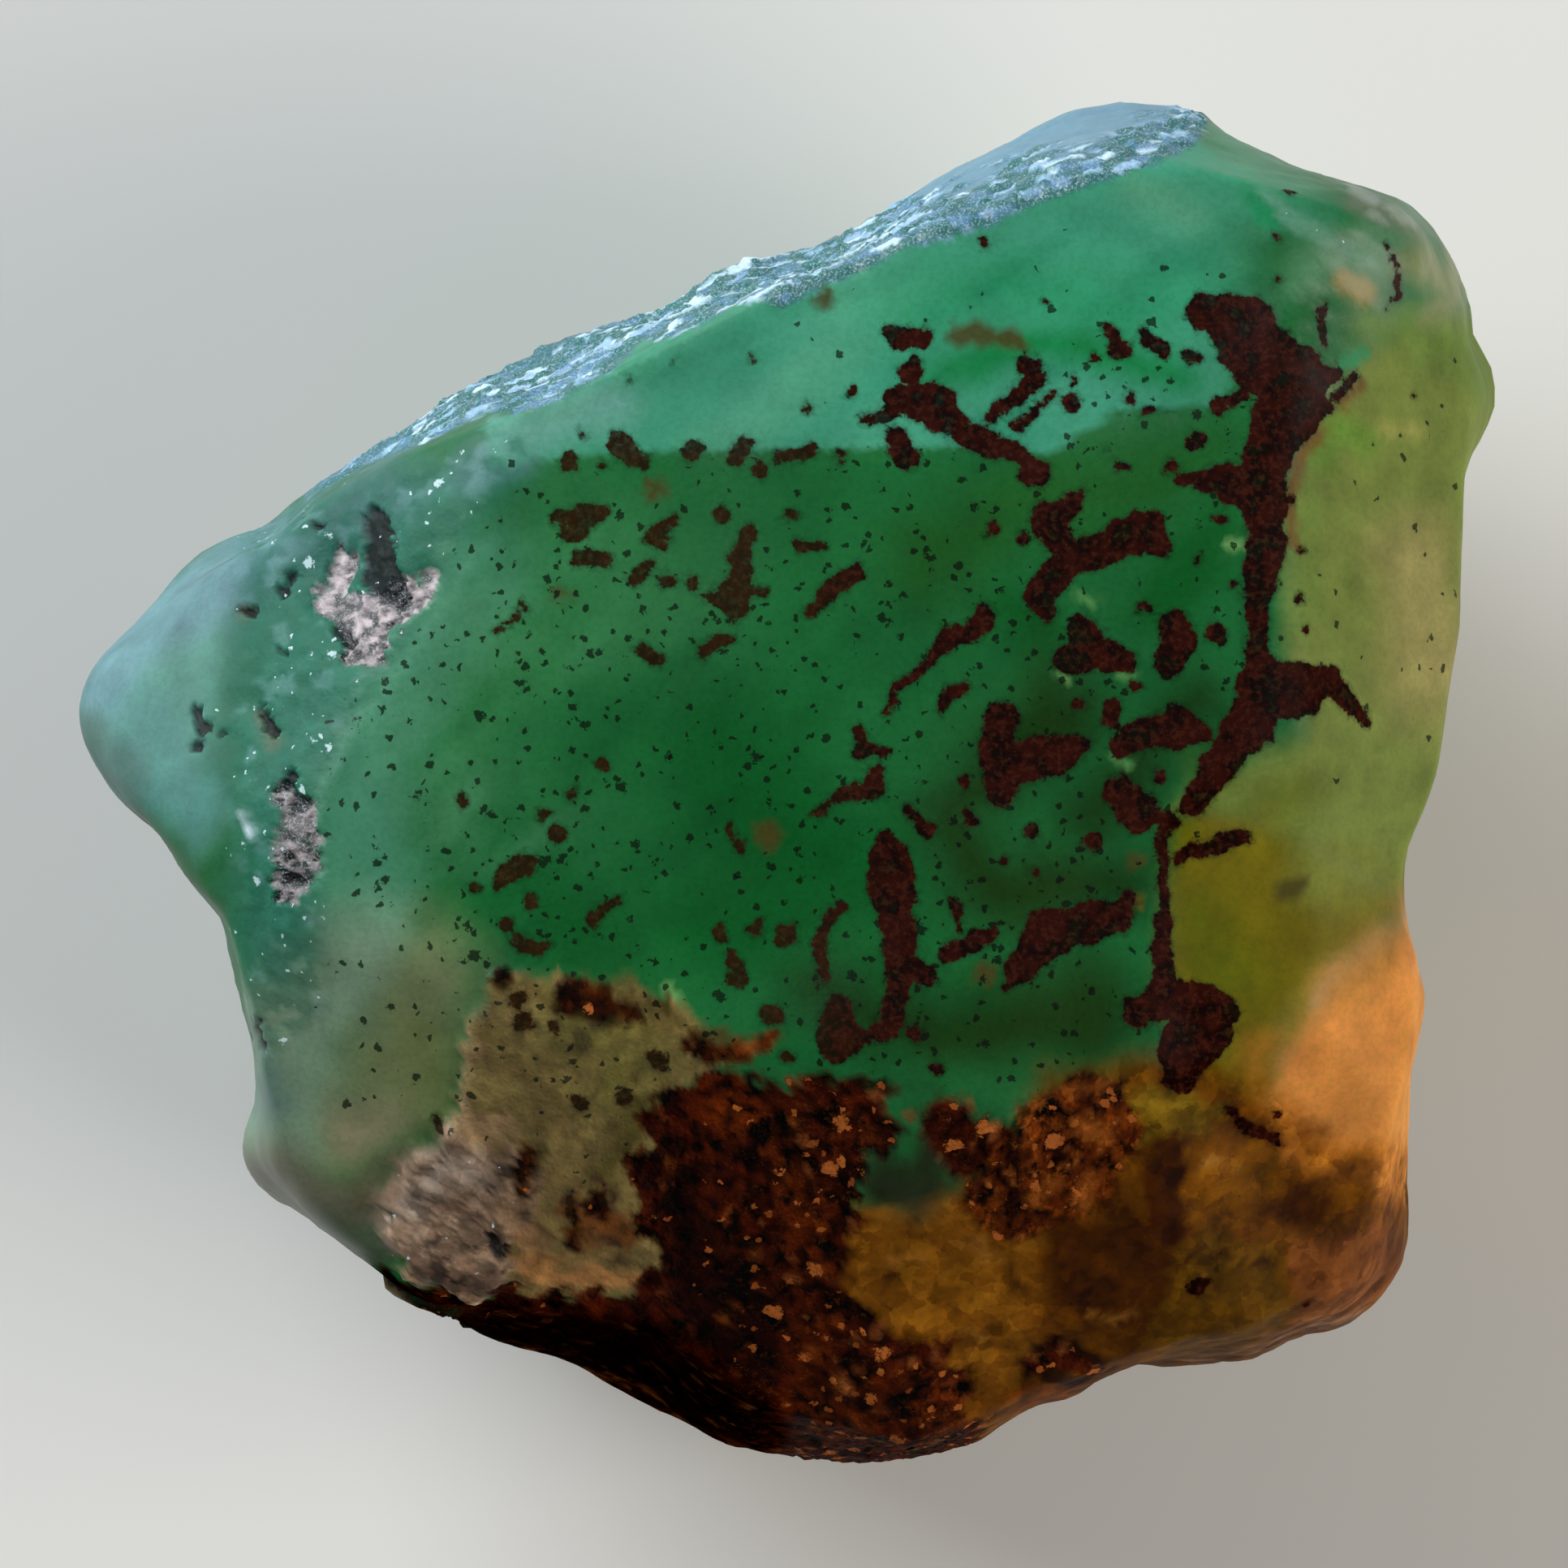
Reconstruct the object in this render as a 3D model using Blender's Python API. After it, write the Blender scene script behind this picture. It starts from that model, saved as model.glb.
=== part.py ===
"""A rough emerald: one broken, cloudy green crystal lying on its flattest break.

Metres, +Z up. The origin is near the middle of the stone, on the surface that it rests on.
The upper surface is a set of natural breaks that meet in soft ridges. Below its edge the sides
fall steeply to the girdle, where the stone is widest, and turn under to a flat foot.
"""

import math

import bmesh
import bpy
import numpy as np
from mathutils import Vector, noise

MM = 0.001

# Driving dimensions, in millimetres.
FACE_LEVEL = 19.7  # level of the front face above the foot
MIN_INSET = 0.5  # least inset of the upper surface's edge from the girdle
FOOT_DEPTH = 0.9  # how far the unbroken underside would reach below the foot
ALONG = 46  # mesh columns along the upper and lower sides, seen from above
ACROSS = 32  # mesh columns along the right and left sides
CROWN_ROWS = 8  # mesh rows from the edge of the upper surface down to the girdle
UNDER_ROWS = 8  # mesh rows from the girdle down to the foot

# The stone seen from above, clockwise from its right upper corner: x, y in millimetres.
OUTLINE = (
    (14.7, 14.8), (15.9, 14.2), (16.4, 13.3), (17.0, 12.2), (17.1, 11.2), (17.5, 10.2),
    (17.4, 9.0), (16.8, 7.8), (16.6, 6.0), (16.4, 4.4), (16.3, 1.8), (16.0, -0.1),
    (15.5, -1.4), (15.3, -3.2), (15.7, -5.0), (15.4, -6.6), (15.2, -8.8), (15.1, -11.1),
    (14.8, -12.2), (14.0, -13.2), (12.7, -13.6), (11.5, -14.1), (9.7, -14.4), (8.4, -14.6),
    (7.3, -15.3), (6.1, -15.7), (4.8, -16.3), (2.7, -16.7), (0.3, -16.8), (-1.3, -16.7),
    (-2.3, -16.2), (-3.9, -15.3), (-5.4, -14.5), (-7.5, -13.9), (-9.1, -12.8),
    (-10.4, -11.5), (-11.9, -10.5), (-12.9, -9.7), (-13.1, -8.9), (-12.9, -8.0),
    (-13.1, -6.8), (-13.8, -4.4), (-13.9, -3.3), (-14.6, -2.4), (-15.4, -1.3),
    (-16.5, -0.3), (-17.3, 0.9), (-17.5, 2.0), (-17.1, 2.9), (-16.2, 3.7), (-15.1, 4.8),
    (-14.0, 5.6), (-12.6, 6.2), (-11.9, 7.0), (-10.6, 8.0), (-8.8, 9.0), (-6.6, 10.1),
    (-4.1, 11.3), (-2.0, 12.5), (-1.0, 12.9), (0.7, 13.1), (2.5, 14.0), (4.1, 15.1),
    (6.0, 15.8), (7.6, 16.4), (9.5, 16.7), (10.5, 16.6), (11.4, 15.9), (12.9, 15.2),
)

# Where the four sides of the mesh meet, as numbers in the outline: right upper corner,
# right lower corner, left lower corner, left end.
CORNERS = (0, 19, 34, 47)

# The sides by compass direction, counter-clockwise from +x: direction in degrees, height of the
# girdle, inset of the upper edge, inset of the foot, crown swell and under swell.
# A swell of 1 is a straight slope and 2 a quarter ellipse.
SIDES = (
    (0, 10.4, 0.8, 6.2, 1.5, 1.7), (28, 11.0, 0.9, 6.8, 1.5, 1.8),
    (44, 11.8, 1.2, 7.8, 1.3, 1.9), (58, 12.2, 1.7, 7.4, 1.2, 1.8),
    (70, 12.2, 2.0, 6.0, 1.1, 1.6), (90, 11.8, 1.4, 4.8, 1.1, 1.5),
    (120, 11.3, 1.5, 4.0, 1.1, 1.5), (145, 10.8, 1.1, 4.6, 1.3, 1.7),
    (165, 10.4, 1.0, 6.8, 1.7, 1.9), (176, 10.2, 1.2, 8.2, 1.8, 2.0),
    (188, 10.0, 1.0, 6.8, 1.6, 1.9), (203, 9.4, 0.9, 5.2, 1.5, 1.7),
    (216, 8.8, 0.9, 5.8, 1.6, 1.8), (234, 7.8, 0.9, 5.6, 1.3, 1.7),
    (246, 7.0, 1.9, 5.4, 1.1, 1.6), (257, 6.6, 2.4, 5.8, 1.1, 1.5),
    (268, 6.4, 1.5, 6.6, 1.2, 1.6), (281, 6.8, 1.0, 6.6, 1.4, 1.8),
    (296, 7.4, 1.1, 5.8, 1.5, 1.7), (316, 8.4, 1.0, 7.6, 1.8, 2.0),
    (332, 9.4, 0.8, 6.4, 1.6, 1.8), (346, 10.0, 0.8, 5.6, 1.5, 1.6),
)

# Breaks of the upper surface: a point on the line that the break starts from, the direction in
# degrees in which it falls away, and its fall in millimetres per millimetre.
TOP_BREAKS = (
    ((2.0, 8.1), 92, 0.17),  # the paler upper break
    ((12.3, 4.0), 3, 1.05),  # the band down the right side
    ((13.0, 12.4), 44, 0.80),  # the right upper corner
    ((-9.4, 3.2), 150, 0.80),  # the granular slope to the left end
    ((-11.4, -1.8), 190, 0.85),  # the left flank
    ((-8.6, -4.5), 236, 0.62),  # the slope of the lower left lobes
    ((0.0, -6.6), 262, 0.62),  # the lower slope
    ((10.7, -6.7), 304, 0.60),  # the orange facet and lower right corner
)
BREAK_BLEND = 0.16  # how softly two upper breaks run together

# Breaks that cut the sides under the girdle: compass direction of a point on the outline, depth
# of the cut's start below the girdle there, direction that it faces and its tilt below level.
UNDER_BREAKS = (
    (0, 1.5, 2, 36), (29, 0.9, 10, 27), (47, 1.6, 46, 40), (64, 1.0, 92, 26),
    (100, 1.6, 114, 31), (150, 0.7, 124, 24), (176, 2.0, 178, 46), (203, 1.2, 196, 30),
    (232, 1.5, 229, 38), (262, 0.8, 256, 30), (290, 1.7, 288, 38), (315, 2.0, 318, 40),
    (342, 1.1, 354, 28),
)
UNDER_BLEND = 0.2  # how softly the breaks under the girdle run together

# Shell-like scars: centre and radius of the ball that each follows, in millimetres.
SCARS = (
    ((-7.0, 17.8, 6.0), 7.4), ((-19.6, -8.4, 6.4), 7.6), ((13.4, -20.6, 5.2), 7.6),
    ((21.8, 3.8, 4.0), 7.2), ((6.0, 21.4, 5.6), 7.0), ((-5.0, -19.8, 2.4), 6.2),
)

# Swellings and pits of the surface: centre, reach and height, negative for a pit.
LUMPS = (
    ((-15.0, 2.2, 13.0), 3.2, 0.6),  # the smooth knob at the left end
    ((-11.8, -8.8, 12.8), 1.8, 0.3),  # the small knob at the lower left
    ((-7.8, -10.4, 14.8), 2.6, 0.9),  # the pale grainy block
    ((-10.3, 4.8, 17.2), 1.8, -0.8),  # the upper pit of dark mica
    ((-12.2, -1.2, 17.4), 1.4, -0.6),  # the lower pit of dark mica
    ((14.4, 13.0, 16.8), 2.0, 0.6),  # the frosted corner
    ((3.2, -13.8, 14.2), 2.8, 0.7),  # the stained toe
    ((-5.0, -13.2, 13.0), 2.4, -0.9),  # the dark hollow under the ledge
    ((7.0, -13.6, 13.0), 1.4, -0.6),  # the notch beside the toe
    ((12.8, -11.2, 15.0), 2.2, 0.5),  # the rounded lower right corner
)

# Relief laid over everything: size of its features and its height, in millimetres.
RELIEF = ((6.5, 0.55), (2.6, 0.2))
CALM_TOP = 0.7  # share of the relief left on the upper surface
SMOOTHED_COLUMNS = 13  # mesh columns over which the outline's waves die out, away from the girdle


def closed_curve(points, per_span=12):
    """Points along a Catmull-Rom curve through the given ones, closed."""
    knots = np.array(points, float)
    before, after, beyond = (np.roll(knots, shift, axis=0) for shift in (1, -1, -2))
    spans = []
    for t in np.arange(per_span) / per_span:
        curve = 2 * knots + (after - before) * t
        curve += (2 * before - 5 * knots + 4 * after - beyond) * t**2
        curve += (3 * knots - before - 3 * after + beyond) * t**3
        spans.append(curve / 2)
    return np.stack(spans, axis=1).reshape(-1, knots.shape[1])


def even_points(curve, count):
    """Evenly spaced points along an open curve, without its last point."""
    length = np.append(0, np.cumsum(np.hypot(*np.diff(curve, axis=0).T)))
    even = np.linspace(0, length[-1], count, endpoint=False)
    return np.column_stack([np.interp(even, length, line) for line in curve.T])


def outline_columns():
    """The points of the girdle, seen from above, at every mesh column."""
    per_span = 12
    curve = closed_curve(OUTLINE, per_span)
    starts = [corner * per_span for corner in CORNERS]
    sides = []
    for start, end, count in zip(starts, starts[1:] + [len(curve)], (ACROSS, ALONG) * 2):
        side = np.vstack([curve, curve[:1]])[start : end + 1]
        sides.append(even_points(side, count))
    return np.vstack(sides)


def side_value(bearing, column):
    """A column of the table of sides, read smoothly all round."""
    rows = np.array(SIDES, float)
    return np.interp(bearing, rows[:, 0], rows[:, column], period=360)


def smooth_minimum(surfaces, blend):
    """The lowest of several values, rounded where two of them meet."""
    stack = np.stack(surfaces)
    lowest = stack.min(axis=0)
    return lowest - blend * np.log(np.exp(-(stack - lowest) / blend).sum(axis=0))


def facing(degrees):
    return np.array([math.cos(math.radians(degrees)), math.sin(math.radians(degrees))])


def top_height(x, y):
    """Height of the upper surface at x, y in millimetres."""
    heights = [np.full(np.shape(x), FACE_LEVEL)]
    for start, direction, fall in TOP_BREAKS:
        ahead = facing(direction)
        beyond = (x - start[0]) * ahead[0] + (y - start[1]) * ahead[1]
        heights.append(FACE_LEVEL - fall * beyond)
    return smooth_minimum(heights, BREAK_BLEND)


def swell_profile(swell, rows):
    """Evenly spaced points (outward, upward), from (0, 1) to (1, 0), along a rounded slope."""
    turn = np.linspace(0, math.pi / 2, 60)
    outward, upward = np.sin(turn) ** (2 / swell), np.cos(turn) ** (2 / swell)
    length = np.append(0, np.cumsum(np.hypot(np.diff(outward), np.diff(upward))))
    even = np.linspace(0, length[-1], rows + 1)
    return np.column_stack([np.interp(even, length, outward), np.interp(even, length, upward)])


def cut_under(radius, height, across, widest):
    """Radius of the stone at a height in a column, after the breaks below the girdle."""
    limits = [radius]
    for bearing, drop, direction, tilt in UNDER_BREAKS:
        start = facing(bearing) * np.interp(bearing, *widest, period=360)
        level = side_value(bearing, 1) - drop
        ahead = facing(direction)
        reach = start @ ahead - (level - height) * math.tan(math.radians(tilt))
        slant = max(across @ ahead, 0.05)
        limits.append(reach / slant)
    return smooth_minimum(limits, UNDER_BLEND)


def ring_points():
    """Rings of points from the upper edge down to the foot, each with a point per column."""
    girdle = outline_columns()
    radius = np.hypot(*girdle.T)
    across = girdle / radius[:, None]
    bearing = np.degrees(np.arctan2(girdle[:, 1], girdle[:, 0])) % 360
    order = np.argsort(bearing)
    widest = (bearing[order], radius[order])
    waves = range(-(SMOOTHED_COLUMNS // 2), SMOOTHED_COLUMNS // 2 + 1)
    calm = np.mean([np.roll(radius, wave) for wave in waves], axis=0)
    level, edge_inset, foot_inset, crown_swell, under_swell = (
        side_value(bearing, column) for column in range(1, 6)
    )
    edge = np.minimum(calm - edge_inset, radius - MIN_INSET)
    foot = calm - foot_inset
    edge_level = top_height(*(edge[:, None] * across).T)
    rings = np.zeros((CROWN_ROWS + UNDER_ROWS + 1, len(girdle), 3))
    for column, direction in enumerate(across):
        crown = swell_profile(crown_swell[column], CROWN_ROWS)
        under = swell_profile(under_swell[column], UNDER_ROWS)[::-1]
        out = edge[column] + crown[:, 0] * (radius - edge)[column]
        up = level[column] + crown[:, 1] * (edge_level - level)[column]
        low_up = level[column] - under[1:, 1] * (level[column] + FOOT_DEPTH)
        low_out = radius[column] - (1 - under[1:, 0]) * (radius - foot)[column]
        low_out = cut_under(low_out, low_up, direction, widest)
        rings[:, column, :2] = np.append(out, low_out)[:, None] * direction
        rings[:, column, 2] = np.append(up, low_up)
    return rings


def add_rings(bm, rings):
    """Makes the rings and bridges each to the next. Returns the top and the bottom loop."""
    loops = []
    for ring in rings:
        verts = [bm.verts.new(Vector(point)) for point in ring]
        loops.append([bm.edges.new((a, b)) for a, b in zip(verts, verts[1:] + verts[:1])])
    for upper, lower in zip(loops, loops[1:]):
        bmesh.ops.bridge_loops(bm, edges=upper + lower)
    return loops[0], loops[-1]


def fill_loop(bm, loop):
    """Fills a ring with a grid between its four sides. Returns the new vertices."""
    rails = loop[ACROSS : ACROSS + ALONG] + loop[2 * ACROSS + ALONG :]
    filled = bmesh.ops.grid_fill(bm, edges=rails)["faces"]
    edge = {vert for line in loop for vert in line.verts}
    inner = {vert for face in filled for vert in face.verts} - edge
    return sorted(inner, key=lambda vert: (round(vert.co.x, 3), round(vert.co.y, 3)))


def drape_top(verts):
    for vert in verts:
        vert.co.z = float(top_height(np.array(vert.co.x), np.array(vert.co.y)))


def carve_scars(bm):
    for centre, radius in SCARS:
        for vert in bm.verts:
            away = vert.co - Vector(centre)
            if away.length < radius:
                vert.co += away.normalized() * (radius - away.length)


def raise_lumps(bm):
    bm.normal_update()
    for centre, reach, height in LUMPS:
        for vert in bm.verts:
            near = 1 - (vert.co - Vector(centre)).length_squared / reach**2
            if near > 0:
                vert.co += vert.normal * height * near**2


def add_relief(bm):
    """Uneven broken surface."""
    bm.normal_update()
    for vert in bm.verts:
        push = sum(height * noise.noise(vert.co / size) for size, height in RELIEF)
        upward = max(vert.normal.z, 0.0)
        vert.co += vert.normal * push * (1 - (1 - CALM_TOP) * upward)


def flatten_foot(bm):
    """Breaks the underside off level, as one flat face."""
    for vert in bm.verts:
        vert.co.z = max(vert.co.z, 0.0)
    foot = [face for face in bm.faces if all(vert.co.z == 0 for vert in face.verts)]
    bmesh.ops.dissolve_faces(bm, faces=foot)


def centre_over_origin(bm):
    places = np.array([vert.co for vert in bm.verts])
    middle = (places.min(axis=0) + places.max(axis=0)) / 2
    bmesh.ops.translate(bm, vec=(-middle[0], -middle[1], 0.0), verts=bm.verts)


def emerald_material():
    material = bpy.data.materials.new("emerald")
    material.use_nodes = True
    shader = material.node_tree.nodes["Principled BSDF"]
    shader.inputs["Base Color"].default_value = (0.05, 0.32, 0.18, 1)
    shader.inputs["Roughness"].default_value = 0.35
    shader.inputs["Metallic"].default_value = 0.0
    material.diffuse_color = (0.05, 0.32, 0.18, 1)
    return material


def build_stone():
    bm = bmesh.new()
    top, bottom = add_rings(bm, ring_points())
    drape_top(fill_loop(bm, top))
    fill_loop(bm, bottom)
    bmesh.ops.recalc_face_normals(bm, faces=bm.faces)
    carve_scars(bm)
    raise_lumps(bm)
    add_relief(bm)
    flatten_foot(bm)
    centre_over_origin(bm)
    bmesh.ops.scale(bm, vec=(MM, MM, MM), verts=bm.verts)
    mesh = bpy.data.meshes.new("emerald_crystal")
    bm.to_mesh(mesh)
    bm.free()
    mesh.materials.append(emerald_material())
    mesh.shade_smooth()
    mesh.set_sharp_from_angle(angle=math.radians(35))
    stone = bpy.data.objects.new("emerald_crystal", mesh)
    bpy.context.scene.collection.objects.link(stone)


def main():
    for obj in list(bpy.data.objects):
        bpy.data.objects.remove(obj)
    build_stone()


main()
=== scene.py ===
"""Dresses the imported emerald: fine broken surface, inclusions, stains, mica and light."""

from types import SimpleNamespace

import bmesh
import bpy
import numpy as np
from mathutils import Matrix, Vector, noise
from mathutils.bvhtree import BVHTree


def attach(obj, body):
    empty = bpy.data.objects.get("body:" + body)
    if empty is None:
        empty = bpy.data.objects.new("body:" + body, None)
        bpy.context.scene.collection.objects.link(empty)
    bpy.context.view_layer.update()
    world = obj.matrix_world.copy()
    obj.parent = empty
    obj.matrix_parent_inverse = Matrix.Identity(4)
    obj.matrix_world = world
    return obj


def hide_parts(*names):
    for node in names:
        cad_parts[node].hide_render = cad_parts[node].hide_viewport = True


MM = 0.001

# The view: straight down on the stone, +Y up. Places in it are given in pixels of its frame.
FRAME_PX = 1932
CAMERA_X, CAMERA_Y = -0.07, 0.15  # mm
GIRDLE_Z = 9.5  # mm, the level at which the frame has the scale below
CAMERA_RISE = 260.0  # mm above that level
MM_PER_PX = 0.0202

# The fine mesh: its longest edges, in mm, and its rounds.
COARSER = 1.0
BACK_EDGE, FRONT_FINER = 0.75, 0.35  # at the back, and how much shorter in front
MICA_EDGE, PATCH_EDGE = 0.15, 0.16
MOST_ROUNDS = 12  # of splitting
SPREAD_ROUNDS = 4  # of passing a split on to the longest edges beside it
RELAX_ROUNDS = 30  # of evening out the corner
OFF_FLOOR = 1.2  # mm above the floor, where the relief is whole

# The noises: size of their features in mm, octaves and seed.
NOISES = {
    "big": (3.0, 4, 11.0), "small": (0.9, 3, 12.0), "small_y": (0.9, 3, 16.0),
    "tiny": (0.3, 2, 15.0), "drift_x": (2.2, 3, 13.0), "drift_y": (2.2, 3, 14.0),
    "cloud": (5.0, 4, 31.0), "stain": (1.6, 2, 33.0),
}
WISPS = (1.7, 4, 17.0)
# The flat grains: size in mm and seed.
SHARDS, CHIPS, FLAKES = (0.26, 5.5), (0.40, 2.2), (0.20, 7.0)
CLODS, GRAINS, BLOCKS = (0.30, 3.0), (0.17, 6.0), (0.75, 9.0)
# How the wisps and the shards lie: their noise turned in the view and drawn out along itself.
WISP_TURN = np.array(((0.80, -0.60, 0), (0.60, 0.80, 0), (0, 0, 1))) * (0.35, 1.0, 1.0)
STRIP_TURN = np.array(((0.88, -0.47, 0), (0.47, 0.88, 0), (0, 0, 1))) * (0.5, 1.0, 1.0)

SHARP_EDGE = 0.3  # mm, the softness up to which a tint's edge is a sharp one
SILVER, BLACK, RUST = (164, 148, 152), (24, 26, 28), (128, 60, 18)  # display colours

# The studio. A light has a name, place and size in mm, a power in watts and a colour.
LIGHTS = (
    ("key", (-240, 240, 200), 300, 2.45, (0.94, 0.98, 1.0)),
    ("fill", (250, -70, 150), 200, 0.9, (1.0, 0.93, 0.84)),
)
LIGHTS_AIM_Z = 12  # mm
SKY, SKY_STRENGTH = (0.95, 0.97, 1.0, 1), 0.09
FLOOR, FLOOR_ROUGHNESS = (0.62, 0.62, 0.61, 1), 0.9
FLOOR_HALF = 0.6  # m

noise.seed_set(5)  # without a seed, noise_vector would differ from run to run

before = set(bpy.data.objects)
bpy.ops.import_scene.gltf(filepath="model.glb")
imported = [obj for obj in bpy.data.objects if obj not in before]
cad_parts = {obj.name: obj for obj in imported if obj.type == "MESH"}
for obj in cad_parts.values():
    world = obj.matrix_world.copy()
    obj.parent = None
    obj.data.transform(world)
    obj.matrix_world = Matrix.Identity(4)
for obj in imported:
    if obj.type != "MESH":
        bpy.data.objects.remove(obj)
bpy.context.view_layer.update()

# ---- places on the stone
# A stroke is a run of (across, down, half-width) in pixels of the view.


def spots(*places):
    """A set of strokes that are one spot each."""
    return tuple((place,) for place in places)


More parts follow.
